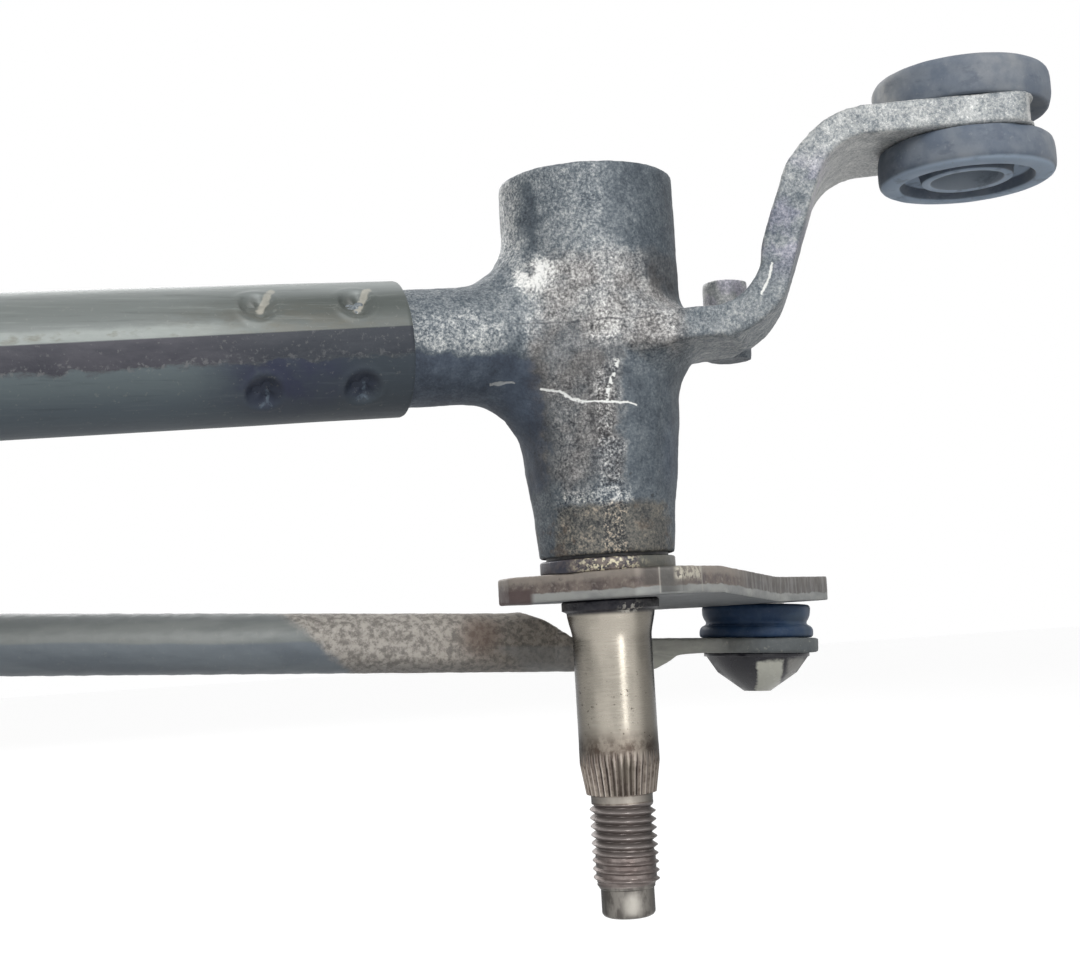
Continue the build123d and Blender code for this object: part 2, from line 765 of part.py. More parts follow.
def motor_bolts():
    """Three flanged bolts from below the plate into the gear housing's lugs."""
    with BuildPart() as bolts:
        for place in lug_places(MOTOR_LUG_AT, MOTOR_LUG_ANGLES):
            with BuildSketch(Plane((*place, PLATE_Z - BOLT_HEAD))):
                RegularPolygon(BOLT_HEAD_R, 6)
            extrude(amount=BOLT_HEAD)
            with BuildSketch(Plane((*place, PLATE_Z - BOLT_FLANGE))):
                Circle(BOLT_FLANGE_R)
            extrude(amount=BOLT_FLANGE)
            with BuildSketch(Plane((*place, PLATE_Z))):
                Circle(MOTOR_BOLT_R)
            extrude(amount=PLATE_THICK + MOTOR_LUG_HEIGHT - BOLT_END_GAP)
    return bolts


# Gear housing and cover


def cross_plane(x, z=WORM_Z):
    """The plane across the armature's axis at x."""
    return Plane(origin=(x, WORM_Y, z), x_dir=(0, 1, 0), z_dir=(1, 0, 0))


def disc_x(x, length, radius, mode=Mode.ADD, z=WORM_Z):
    """A round boss or bore along X in the part being built."""
    with BuildSketch(cross_plane(x, z)) as disc:
        Circle(radius)
    extrude(disc.sketch, amount=length, mode=mode)


def disc_z(x, y, z, height, radius, mode=Mode.ADD):
    """A round boss or bore along Z in the part being built."""
    with BuildSketch(Plane((x, y, z))) as disc:
        Circle(radius)
    extrude(disc.sketch, amount=height, mode=mode)


TUNNEL_END = 8
TUNNEL_BUSH = 6
CAN_TAP_R = 2.1
CAN_HOLE_R = 2.3
COVER_TAP_R = 1.9
COVER_HOLE_R = 2.2
COVER_BOSS = 9
COVER_TAP = 8
COVER_LIP = 1.5
SCREW_R = 1.85
SCREW_REACH = 7
SCREW_HEAD_R = 3.6
SCREW_HEAD = 2.4
SCREW_KEY_R = 1.7
SCREW_KEY = 1.4


def gear_housing():
    """Die casting: wheel pan, output boss, worm tunnel, motor flange, lugs and cover ears."""
    height = CASE_TOP_Z - CASE_Z
    flange_back = FLANGE_X - CASE_FLANGE
    with BuildPart() as case:
        disc_z(MOTOR_X, MOTOR_Y, CASE_Z, height, CASE_R)
        disc_z(MOTOR_X, MOTOR_Y, BOSS_END_Z, CASE_Z - BOSS_END_Z, BOSS_R)
        disc_x(FLANGE_X, TUNNEL_RIGHT_X - FLANGE_X, TUNNEL_R)
        disc_x(flange_back, CASE_FLANGE, CAN_R + 1)
        for side in (-1, 1):
            disc_x(flange_back, CASE_FLANGE, CAN_EAR_R, z=WORM_Z + side * CAN_EAR_AT)
        for place in lug_places(MOTOR_LUG_AT, MOTOR_LUG_ANGLES):
            disc_z(*place, CASE_Z, MOTOR_LUG_HEIGHT, MOTOR_LUG_R)
        for place in lug_places(COVER_EAR_AT, COVER_EAR_ANGLES):
            disc_z(*place, CASE_TOP_Z - COVER_BOSS, COVER_BOSS, COVER_EAR_R)
        cavity = CASE_Z + CASE_FLOOR
        disc_z(MOTOR_X, MOTOR_Y, cavity, CASE_TOP_Z - cavity, CASE_R - CASE_WALL, Mode.SUBTRACT)
        disc_z(MOTOR_X, MOTOR_Y, BOSS_END_Z, cavity - BOSS_END_Z, OUTPUT_BUSH_R, Mode.SUBTRACT)
        bush_x = TUNNEL_RIGHT_X - TUNNEL_END
        disc_x(flange_back, bush_x - flange_back, TUNNEL_BORE_R, Mode.SUBTRACT)
        disc_x(bush_x, TUNNEL_BUSH, ARMATURE_R + RUNNING_GAP, Mode.SUBTRACT)
        for side in (-1, 1):
            disc_x(flange_back, CASE_FLANGE, CAN_TAP_R, Mode.SUBTRACT, z=WORM_Z + side * CAN_EAR_AT)
        for place in lug_places(MOTOR_LUG_AT, MOTOR_LUG_ANGLES):
            disc_z(*place, CASE_Z, MOTOR_LUG_HEIGHT, MOTOR_BOLT_R + RUNNING_GAP, Mode.SUBTRACT)
        for place in lug_places(COVER_EAR_AT, COVER_EAR_ANGLES):
            disc_z(*place, CASE_TOP_Z - COVER_TAP, COVER_TAP, COVER_TAP_R, Mode.SUBTRACT)
    return case


def gear_cover():
    """Moulded lid with screw ears and a raised middle."""
    with BuildPart() as cover:
        disc_z(MOTOR_X, MOTOR_Y, CASE_TOP_Z, COVER_THICK, CASE_R)
        for place in lug_places(COVER_EAR_AT, COVER_EAR_ANGLES):
            disc_z(*place, CASE_TOP_Z, COVER_THICK, COVER_EAR_R)
        lip_z = CASE_TOP_Z - COVER_LIP
        disc_z(MOTOR_X, MOTOR_Y, lip_z, COVER_LIP, CASE_R - CASE_WALL - THIN_GAP)
        disc_z(MOTOR_X, MOTOR_Y, lip_z, COVER_LIP, CASE_R - 2 * CASE_WALL, Mode.SUBTRACT)
        for place in lug_places(COVER_EAR_AT, COVER_EAR_ANGLES):
            disc_z(*place, CASE_TOP_Z, COVER_THICK, COVER_HOLE_R, Mode.SUBTRACT)
    return cover


def cover_screws():
    """Four screws through the cover's ears."""
    with BuildPart() as screws:
        for place in lug_places(COVER_EAR_AT, COVER_EAR_ANGLES):
            head_z = CASE_TOP_Z + COVER_THICK
            disc_z(*place, CASE_TOP_Z - SCREW_REACH, SCREW_REACH + COVER_THICK, SCREW_R)
            disc_z(*place, head_z, SCREW_HEAD, SCREW_HEAD_R)
            with BuildSketch(Plane((*place, head_z + SCREW_HEAD - SCREW_KEY))):
                RegularPolygon(SCREW_KEY_R, 6)
            extrude(amount=SCREW_KEY, mode=Mode.SUBTRACT)
    return screws


# Connector: a shroud on the cover whose mouth faces +X
CONNECTOR_SIZE = (26, 27, 13)
CONNECTOR_WALL = 2.0
TERMINAL_COUNT = 4
TERMINAL_SIZE = (12, 0.8, 2.8)
CONNECTOR_X = MOTOR_X + 4
CONNECTOR_Z = CASE_TOP_Z + COVER_THICK
CONNECTOR_CORNER = 1.5
LATCH_HEIGHT = 1.2


def connector():
    """Moulded plug shroud, closed at the back."""
    length, width, height = CONNECTOR_SIZE
    middle_z = CONNECTOR_Z + height / 2
    with BuildPart() as shroud:
        with Locations((CONNECTOR_X, MOTOR_Y, middle_z)):
            Box(length, width, height)
        fillet(shroud.edges().filter_by(Axis.X), radius=CONNECTOR_CORNER)
        with Locations((CONNECTOR_X + length / 4, MOTOR_Y, middle_z)):
            Box(length / 2, width - 2 * CONNECTOR_WALL, height - 2 * CONNECTOR_WALL, mode=Mode.SUBTRACT)
        with Locations((CONNECTOR_X + length / 4, MOTOR_Y, CONNECTOR_Z + height)):
            Box(length / 4, width / 4, LATCH_HEIGHT)
        for y in terminal_rows():
            with Locations((CONNECTOR_X, y, middle_z)):
                Box(*TERMINAL_SIZE, mode=Mode.SUBTRACT)
    return shroud


def terminal_rows():
    """Y of each terminal."""
    step = (CONNECTOR_SIZE[1] - 2 * CONNECTOR_WALL) / TERMINAL_COUNT
    return [MOTOR_Y + (i - (TERMINAL_COUNT - 1) / 2) * step for i in range(TERMINAL_COUNT)]


def terminals():
    """Flat blades that stand in the shroud."""
    middle_z = CONNECTOR_Z + CONNECTOR_SIZE[2] / 2
    with BuildPart() as blades:
        for y in terminal_rows():
            with Locations((CONNECTOR_X, y, middle_z)):
                Box(*TERMINAL_SIZE)
    return blades


# Worm drive and output


def wheel_tooth():
    """One tooth of the wheel on its own x axis, from root to tip."""
    root = WHEEL_PITCH_R - TOOTH_DEPTH
    tip = WHEEL_PITCH_R + TOOTH_TIP
    wide, narrow = TOOTH_HALF + FLANK, TOOTH_HALF - FLANK
    with BuildSketch() as tooth:
        with BuildLine():
            Polyline(
                (root - TOOTH_ROOT, -wide), (root, -wide), (tip, -narrow), (tip, narrow),
                (root, wide), (root - TOOTH_ROOT, wide), close=True,
            )
        make_face()
    return tooth.sketch


def worm_wheel():
    """Moulded wheel: toothed rim, web with round lightening holes, and hub."""
    root = WHEEL_PITCH_R - TOOTH_DEPTH
    low = WORM_Z - WHEEL_FACE / 2
    phase = 90 + 180 / WHEEL_TEETH
    tooth = wheel_tooth()
    with BuildPart() as wheel:
        with BuildSketch(Plane((MOTOR_X, MOTOR_Y, low))):
            Circle(root)
            with PolarLocations(0, WHEEL_TEETH, start_angle=phase):
                add(tooth)
            with PolarLocations(WEB_HOLE_AT, WEB_HOLES):
                Circle(WEB_HOLE_R, mode=Mode.SUBTRACT)
        extrude(amount=WHEEL_FACE)
        disc_z(MOTOR_X, MOTOR_Y, CASE_Z + CASE_FLOOR + WHEEL_FLOAT, WHEEL_HUB, WHEEL_HUB_R - 2)
        disc_z(MOTOR_X, MOTOR_Y, CASE_Z, 2 * WHEEL_HUB, OUTPUT_R, Mode.SUBTRACT)
    return wheel


CLIP_Z = CASE_Z + CASE_FLOOR + WHEEL_FLOAT + WHEEL_HUB + THIN_GAP


def output_shaft():
    """Turned output shaft: crank thread, bearing stretch and ring groove."""
    groove_r = OUTPUT_R - GROOVE_DEPTH
    profile = (
        (0, OUTPUT_END_Z), (OUTPUT_THREAD_R - EDGE, OUTPUT_END_Z),
        (OUTPUT_THREAD_R, OUTPUT_END_Z + EDGE), (OUTPUT_THREAD_R, CRANK_Z), (OUTPUT_R, CRANK_Z),
        (OUTPUT_R, CLIP_Z), (groove_r, CLIP_Z), (groove_r, CLIP_Z + GROOVE_WIDTH),
        (OUTPUT_R, CLIP_Z + GROOVE_WIDTH), (OUTPUT_R, OUTPUT_TOP_Z - EDGE),
        (OUTPUT_R - EDGE, OUTPUT_TOP_Z), (0, OUTPUT_TOP_Z),
    )
    return turned(profile, upright(MOTOR_X, MOTOR_Y))


def crank_ball(heading):
    """Place of a crank ball."""
    angle = radians(heading)
    return (
        MOTOR_X + LEVER_THROW * cos(angle), MOTOR_Y + LEVER_THROW * sin(angle), CRANK_BALL_Z,
    )


def lever_ball(x, heading):
    """Place of a lever's ball."""
    angle = radians(heading)
    return (x + LEVER_THROW * cos(angle), LEVER_THROW * sin(angle), BALL_Z)


def crank_arm():
    """Pressed crank with a hub and two ball ends on the same side."""
    balls = [crank_ball(heading)[:2] for heading in (RIGHT_HEADING, LEFT_HEADING)]
    with BuildPart() as crank:
        with BuildSketch(Plane.XY.offset(CRANK_Z)):
            with Locations((MOTOR_X, MOTOR_Y)):
                Circle(CRANK_HUB_R)
            with Locations(*balls):
                Circle(CRANK_END_R)
            make_hull()
            with Locations((MOTOR_X, MOTOR_Y)):
                Circle(OUTPUT_R, mode=Mode.SUBTRACT)
            with Locations(*balls):
                Circle(STUD_SHANK_R, mode=Mode.SUBTRACT)
        extrude(amount=CRANK_THICK)
    return crank


def crank_nut():
    """Flange nut that clamps the crank."""
    low = CRANK_Z - NUT_HEIGHT
    with BuildPart() as nut:
        with BuildSketch(Plane((MOTOR_X, MOTOR_Y, low))):
            RegularPolygon(NUT_R, 6)
        extrude(amount=NUT_HEIGHT)
        disc_z(MOTOR_X, MOTOR_Y, CRANK_Z - NUT_FLANGE, NUT_FLANGE, NUT_FLANGE_R)
        disc_z(MOTOR_X, MOTOR_Y, low, NUT_HEIGHT, OUTPUT_THREAD_R, Mode.SUBTRACT)
    return nut


# Armature


def armature_shaft():
    """Shaft with a one-start worm: a core and a swept thread that stands in the wheel's teeth."""
    height = WORM_TURNS * PITCH
    depth = TOOTH_TIP
    crest = TOOTH_HALF - FLANK
    start_x = MOTOR_X - height / 2
    worm_plane = Plane(origin=(start_x, WORM_Y, WORM_Z), x_dir=(0, -1, 0), z_dir=(1, 0, 0))
    shaft_start = CAN_BACK_X + SHAFT_INSET
    shaft_end = TUNNEL_RIGHT_X - TUNNEL_END + TUNNEL_BUSH - SHAFT_FLOAT
    with BuildPart() as thread:
        with BuildLine() as helix:
            Helix(pitch=PITCH, height=height, radius=WORM_PITCH_R)
        with BuildSketch(Plane(origin=(WORM_PITCH_R, 0, 0), x_dir=(1, 0, 0), z_dir=(0, -1, 0))):
            with BuildLine():
                Polyline(
                    (-WORM_SUNK, -TOOTH_HALF - FLANK), (depth, -crest), (depth, crest),
                    (-WORM_SUNK, TOOTH_HALF + FLANK), close=True,
                )
            make_face()
        sweep(path=helix.line, is_frenet=True)
    with BuildPart() as shaft:
        disc_x(shaft_start, shaft_end - shaft_start, ARMATURE_R)
        disc_x(start_x - WORM_RUN_OUT, height + 2 * WORM_RUN_OUT, WORM_CORE_R)
        with Locations(worm_plane):
            add(thread.part)
    return shaft


def armature_core():
    """Laminated core with open slots for the coils."""
    back, front = CORE_X
    with BuildPart() as core:
        with BuildSketch(cross_plane(CAN_FRONT_X + back)):
            Circle(CORE_R)
            with PolarLocations(SLOT_AT, CORE_SLOTS):
                Circle(SLOT_R, mode=Mode.SUBTRACT)
            with PolarLocations(CORE_R, CORE_SLOTS):
                Rectangle(2 * SLOT_R, CORE_MOUTH, mode=Mode.SUBTRACT)
            Circle(ARMATURE_R, mode=Mode.SUBTRACT)
        extrude(amount=front - back)
    return core


def armature_windings():
    """Copper coils: bars in the slots joined by a round bundle at each end."""
    back, front = CORE_X
    bundle = 2 * SLOT_R
    with BuildPart() as coils:
        with BuildSketch(cross_plane(CAN_FRONT_X + back - COIL_LAP)):
            with PolarLocations(SLOT_AT, CORE_SLOTS):
                Circle(SLOT_R - 2 * THIN_GAP)
        extrude(amount=front - back + 2 * COIL_LAP)
        for x in (CAN_FRONT_X + back - bundle - COIL_GAP, CAN_FRONT_X + front + COIL_GAP):
            with BuildSketch(cross_plane(x)):
                Circle(COIL_OUTER_R)
                Circle(SLOT_AT - bundle, mode=Mode.SUBTRACT)
            extrude(amount=bundle)
        for end in (0, -1):
            rims = coils.edges().filter_by(GeomType.CIRCLE).group_by(Axis.X)[end]
            fillet(rims, radius=bundle / 3)
    return coils


def commutator():
    """Copper segments around the shaft, parted by thin slots."""
    back, front = COMMUTATOR_X
    with BuildPart() as segments:
        with BuildSketch(cross_plane(CAN_FRONT_X + back)):
            Circle(COMMUTATOR_R)
            Circle(ARMATURE_R, mode=Mode.SUBTRACT)
            with PolarLocations(COMMUTATOR_R, CORE_SLOTS):
                Rectangle(*SEGMENT_SLOT, mode=Mode.SUBTRACT)
        extrude(amount=front - back)
    return segments


# Can, magnets and brushes


def motor_can():
    """Deep-drawn steel can with a bearing cup and two ears."""
    ear_x = CAN_FRONT_X - CAN_FLANGE
    cup_x = CAN_BACK_X - CUP_LENGTH
    with BuildPart() as can:
        disc_x(CAN_BACK_X, CAN_LENGTH, CAN_R)
        corner = can.edges().filter_by(GeomType.CIRCLE).group_by(Axis.X)[0]
        fillet(corner, radius=CAN_CORNER)
        disc_x(cup_x, CUP_LENGTH + CAN_CORNER, CUP_R)
        for side in (-1, 1):
            with BuildSketch(cross_plane(ear_x)):
                with Locations((0, side * CAN_EAR_AT)):
                    Circle(CAN_EAR_R)
                with Locations((0, side * (CAN_EAR_AT - CAN_EAR_R))):
                    Rectangle(2 * CAN_EAR_R, 2 * CAN_EAR_R)
            extrude(amount=CAN_FLANGE)
        disc_x(CAN_BACK_X + CUP_WALL, CAN_LENGTH - CUP_WALL, CAN_R - CAN_WALL, Mode.SUBTRACT)
        disc_x(cup_x + CUP_WALL, CUP_LENGTH, CUP_R - CUP_WALL, Mode.SUBTRACT)
        for side in (-1, 1):
            disc_x(ear_x, CAN_FLANGE, CAN_HOLE_R, Mode.SUBTRACT, z=WORM_Z + side * CAN_EAR_AT)
    return can


def can_bearing():
    """Self-aligning bush in the can's cup."""
    with BuildPart() as bush:
        disc_x(CAN_BACK_X - CUP_BUSH_X, CUP_BUSH, CUP_BUSH_R)
        disc_x(CAN_BACK_X - CUP_BUSH_X, CUP_BUSH, ARMATURE_R + RUNNING_GAP, Mode.SUBTRACT)
    return bush


def can_screws():
    """Two screws from the can's ears into the gear housing's flange."""
    head_x = CAN_FRONT_X - CAN_FLANGE - CAN_SCREW_HEAD
    with BuildPart() as screws:
        for side in (-1, 1):
            height = WORM_Z + side * CAN_EAR_AT
            disc_x(CAN_FRONT_X - CAN_FLANGE, CASE_FLANGE + CAN_FLANGE, CAN_SCREW_R, z=height)
            disc_x(head_x, CAN_SCREW_HEAD, CAN_SCREW_HEAD_R, z=height)
            with BuildSketch(cross_plane(head_x, height)):
                RegularPolygon(CAN_SCREW_KEY_R, 6)
            extrude(amount=CAN_SCREW_KEY, mode=Mode.SUBTRACT)
    return screws


def magnets():
    """Two curved ferrite magnets inside the can."""
    inner, outer = MAGNET_R
    back, front = CORE_X
    slope = sin(radians(90 - MAGNET_ARC))
    wedge = [(0, 0), (2 * outer, -2 * outer * slope), (2 * outer, 2 * outer * slope)]
    with BuildPart() as pair:
        with BuildSketch(cross_plane(CAN_FRONT_X + back)):
            Circle(outer)
            Circle(inner, mode=Mode.SUBTRACT)
            for turn in (0, 180):
                with BuildSketch(mode=Mode.PRIVATE) as gap:
                    with BuildLine():
                        Polyline(*wedge, close=True)
                    make_face()
                add(gap.sketch.rotate(Axis.Z, turn), mode=Mode.SUBTRACT)
        extrude(amount=front - back)
    return pair


def brush_holder():
    """Moulded plate behind the commutator with two brush boxes."""
    plate_x = CAN_FRONT_X - HOLDER_BACK
    length, depth, height = BRUSH_BOX
    with BuildPart() as holder:
        disc_x(plate_x, HOLDER_THICK, CAN_R - CAN_WALL - THIN_GAP)
        disc_x(plate_x, HOLDER_THICK, HOLDER_BORE_R, Mode.SUBTRACT)
        for side in (-1, 1):
            middle = WORM_Y + side * (COMMUTATOR_R + BRUSH_BOX_BORE)
            with Locations((plate_x - length / 2, middle, WORM_Z)):
                Box(length, depth, height)
                Box(BRUSH_BOX_BORE, 2 * depth, BRUSH_BOX_BORE, mode=Mode.SUBTRACT)
    return holder


def brushes():
    """Two carbon brushes in their boxes, hollowed to clear the commutator by a hair."""
    with BuildPart() as pair:
        for side in (-1, 1):
            middle = WORM_Y + side * (COMMUTATOR_R - BRUSH_HOLLOW + BRUSH_LENGTH / 2)
            with Locations((CAN_FRONT_X - BRUSH_X, middle, WORM_Z)):
                Box(BRUSH_WIDE, BRUSH_LENGTH, BRUSH_WIDE)
        start = CAN_FRONT_X - BRUSH_X - BRUSH_WIDE
        disc_x(start, 2 * BRUSH_WIDE, COMMUTATOR_R + THIN_GAP, Mode.SUBTRACT)
    return pair


# Assembly

housing = finish(pivot_housing(), "right_pivot_housing")
finish(mirrored(housing), "left_pivot_housing")
finish(frame_tube(), "frame_tube")

shaft = finish(pivot_shaft(), "right_pivot_shaft")
finish(moved(shaft, LEFT_X), "left_pivot_shaft")

lever_top = LEVER_Z + LEVER_THICK
eye_angle = radians(EAR_HEADING)
eye_x, eye_y = EAR_EYE * cos(eye_angle), EAR_EYE * sin(eye_angle)
sides = (("right", 0, RIGHT_HEADING, eye_x), ("left", LEFT_X, LEFT_HEADING, LEFT_X - eye_x))
for side, pivot_x, heading, ear_x in sides:
    lever_point = lever_ball(pivot_x, heading)
    crank_point = crank_ball(heading)
    link = link_plane(lever_point, crank_point)
    far = link_plane(crank_point, lever_point)
    washer_z = TOP_WELL_Z + THIN_GAP
    finish(ring(pivot_x, 0, LOWER_BUSH_Z, LOWER_BUSH_Z + BUSH_LENGTH, SHAFT_R + RUNNING_GAP, BUSH_R),
           f"{side}_lower_bush")
    finish(ring(pivot_x, 0, UPPER_BUSH_Z, UPPER_BUSH_Z + BUSH_LENGTH, SHAFT_R + RUNNING_GAP, BUSH_R),
           f"{side}_upper_bush")
    finish(ring(pivot_x, 0, RIM_Z - SEAL_PROUD, SEAL_SEAT_Z, SEAL_INNER_R, SEAL_R), f"{side}_shaft_seal")
    finish(ring(pivot_x, 0, lever_top, RIM_Z - WASHER_GAP, SHAFT_R + RUNNING_GAP, RIM_R),
           f"{side}_thrust_washer")
    finish(ring(pivot_x, 0, washer_z, washer_z + TOP_WASHER_THICK, SHAFT_R + RUNNING_GAP, TOP_WASHER_R),
           f"{side}_top_washer")
    finish(retaining_ring(pivot_x, 0, GROOVE_Z + THIN_GAP / 2, SHAFT_R - GROOVE_DEPTH,
                          SHAFT_R + CLIP_PROUD), f"{side}_retaining_ring")
    finish(lever(pivot_x, heading), f"{side}_lever")
    finish(ball_stud(*lever_point, STUD_SHANK), f"{side}_lever_ball_stud")
    finish(ball_stud(*crank_point, CRANK_THICK), f"{side}_crank_ball_stud")
    finish(link_rod(lever_point, crank_point), f"{side}_link_rod")
    finish(socket(link, OPEN_JOINT_GAP), f"{side}_lever_socket")
    finish(socket(far, RUNNING_GAP), f"{side}_crank_socket")
    finish(boot(link), f"{side}_lever_boot")
    finish(boot(far), f"{side}_crank_boot")
    finish(grommet(ear_x, eye_y, EAR_HIGH_Z, EAR_THICK), f"{side}_grommet")

finish(motor_bracket(), "motor_bracket")
finish(motor_bolts(), "motor_bolts")
finish(grommet(MOTOR_X, BRACKET_EAR_Y, PLATE_Z + PLATE_THICK / 2, PLATE_THICK), "bracket_grommet")
finish(gear_housing(), "gear_housing")
finish(gear_cover(), "gear_cover")
finish(cover_screws(), "cover_screws")
finish(connector(), "connector")
finish(terminals(), "terminals")
finish(ring(MOTOR_X, MOTOR_Y, BOSS_END_Z + 1, CASE_Z + CASE_FLOOR, OUTPUT_R + RUNNING_GAP, OUTPUT_BUSH_R),
       "output_bush")
finish(ring(MOTOR_X, MOTOR_Y, CRANK_Z + CRANK_THICK, BOSS_END_Z - THIN_GAP, OUTPUT_R, BOSS_R - 1),
       "output_spacer")
finish(output_shaft(), "output_shaft")
finish(retaining_ring(MOTOR_X, MOTOR_Y, CLIP_Z + THIN_GAP / 2, OUTPUT_R - GROOVE_DEPTH,
                      OUTPUT_R + CLIP_PROUD), "output_retaining_ring")
finish(worm_wheel(), "worm_wheel")
finish(crank_arm(), "crank_arm")
finish(crank_nut(), "crank_nut")
finish(armature_shaft(), "armature_shaft")
finish(armature_core(), "armature_core")
finish(armature_windings(), "armature_windings")
finish(commutator(), "commutator")
finish(motor_can(), "motor_can")
finish(can_bearing(), "can_bearing")
finish(can_screws(), "can_screws")
finish(magnets(), "magnets")
finish(brush_holder(), "brush_holder")
finish(brushes(), "brushes")
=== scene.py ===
"""Looks of the wiper motor and its linkage: materials, detailed pieces, light, floor and camera."""
import json
from math import atan2, cos, exp, hypot, pi, radians, sin

import bmesh
import bpy
import numpy as np
from mathutils import Matrix, Vector, noise

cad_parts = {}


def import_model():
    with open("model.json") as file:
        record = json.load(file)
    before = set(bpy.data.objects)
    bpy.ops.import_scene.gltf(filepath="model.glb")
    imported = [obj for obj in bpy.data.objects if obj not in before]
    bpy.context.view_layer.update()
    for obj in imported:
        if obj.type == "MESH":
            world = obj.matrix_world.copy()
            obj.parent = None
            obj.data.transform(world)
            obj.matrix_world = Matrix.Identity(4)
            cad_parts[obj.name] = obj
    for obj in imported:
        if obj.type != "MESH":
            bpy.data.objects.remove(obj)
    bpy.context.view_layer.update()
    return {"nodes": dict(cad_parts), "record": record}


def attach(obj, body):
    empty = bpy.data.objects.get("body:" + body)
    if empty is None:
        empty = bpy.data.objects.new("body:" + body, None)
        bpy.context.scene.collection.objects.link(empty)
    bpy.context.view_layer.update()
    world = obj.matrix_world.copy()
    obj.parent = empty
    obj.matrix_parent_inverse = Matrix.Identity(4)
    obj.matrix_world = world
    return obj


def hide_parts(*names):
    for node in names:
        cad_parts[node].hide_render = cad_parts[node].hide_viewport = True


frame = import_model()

MM = 0.001

# Sizes, in millimetres in the frame's own axes

LEFT_X = -460.0
MIDDLE_X = LEFT_X / 2
PIVOT_X = {"right": 0.0, "left": LEFT_X}
TUBE_R = 10.0
TUBE_INNER_R = 8.75
TUBE_END_X = -31.3
TUBE_AXIS_Z = 64.2
TUBE_SLOPE = 0.0467
TUBE_BEND_X = -170.0
TUBE_BEND_REACH = 7.0
TUBE_LEVEL_Z = TUBE_AXIS_Z + TUBE_SLOPE * TUBE_BEND_X
DIMPLE_X = (-38.8, -52.8)
DIMPLE_ANGLES = (35, -42, 139, -139)
EYE = (51.86, -25.74)
MOTOR = (-230.0, 30.0)
THROW = 43.5
HEADING = {"right": 33, "left": 65}
BALL_Z = 15.5
LINK_RISE = 12.7
LINK_RUN = 230
ROD_R = 4.9
BAR_LIFT = 0.6
LEVER_Z = 24.4
LEVER_BEND_START = 8
LEVER_BEND_RUN = 22
LEVER_DROP = 1.8
TEETH = 36
THREAD_PITCH = 1.25

# X of each lever's ball, with the left one mirrored to the right

LEVER_BALL_X = {"right": 36.5, "left": -18.4}

# Level directions: towards the eye, to its right, along the ear, and out of the ear's front edge

FRONT = Vector((-0.34, -0.94, 0))
ACROSS = Vector((0.94, -0.34, 0))
EAR_ALONG = Vector((0.896, -0.445, 0))
EAR_FRONT = Vector((-0.445, -0.896, 0))


def shade(code):
    """Linear colour from the hexadecimal code that a picture shows."""
    shown = [int(code[i:i + 2], 16) / 255 for i in (0, 2, 4)]
    return (*(v / 12.92 if v <= 0.04045 else ((v + 0.055) / 1.055) ** 2.4 for v in shown), 1.0)


def arithmetic(operation):
    return lambda field, other: field.paint.math(operation, field, other)


class Field:
    """A number that varies over a surface: an output of one paint's nodes, with arithmetic."""

    def __init__(self, paint, socket):
        self.paint, self.socket = paint, socket

    __add__, __sub__ = arithmetic("ADD"), arithmetic("SUBTRACT")
    __mul__, __truediv__ = arithmetic("MULTIPLY"), arithmetic("DIVIDE")

    def __rsub__(self, other):
        return self.paint.math("SUBTRACT", other, self)

    def clamped(self):
        return self.paint.math("MULTIPLY", self, 1.0, clamp=True)

    def step(self, low, high):
        """0 below low, 1 above high and smooth between; low above high turns it round."""
        node = self.paint.node("MapRange", self, low, high, interpolation_type="SMOOTHSTEP")
        return Field(self.paint, node.outputs["Result"])

    def band(self, low, high, soft):
        """1 between low and high, fading over soft at both."""
        return self.step(low - soft, low + soft) * self.step(high + soft, high - soft)

    def range(self, low, high):
        """Low where the field is 0, high where it is 1."""
        return self.paint.math("MULTIPLY_ADD", self, high - low, low)

    def ragged(self, size, amount):
        """The field shaken by noise, so that a mask made from it has a torn edge."""
        return self + self.paint.noise(size, 4, 0.65).range(-amount, amount)


def joined(operation, fields):
    """Several fields taken together by a maximum or a minimum."""
    result = fields[0]
    for field in fields[1:]:
        result = result.paint.math(operation, result, field)
    return result


def most(*fields):
    return joined("MAXIMUM", fields)


def toward(value, target, mask):
    """The value, moved to the target where the mask is 1."""
    return mask.paint.math("MULTIPLY_ADD", target - value, mask, value)


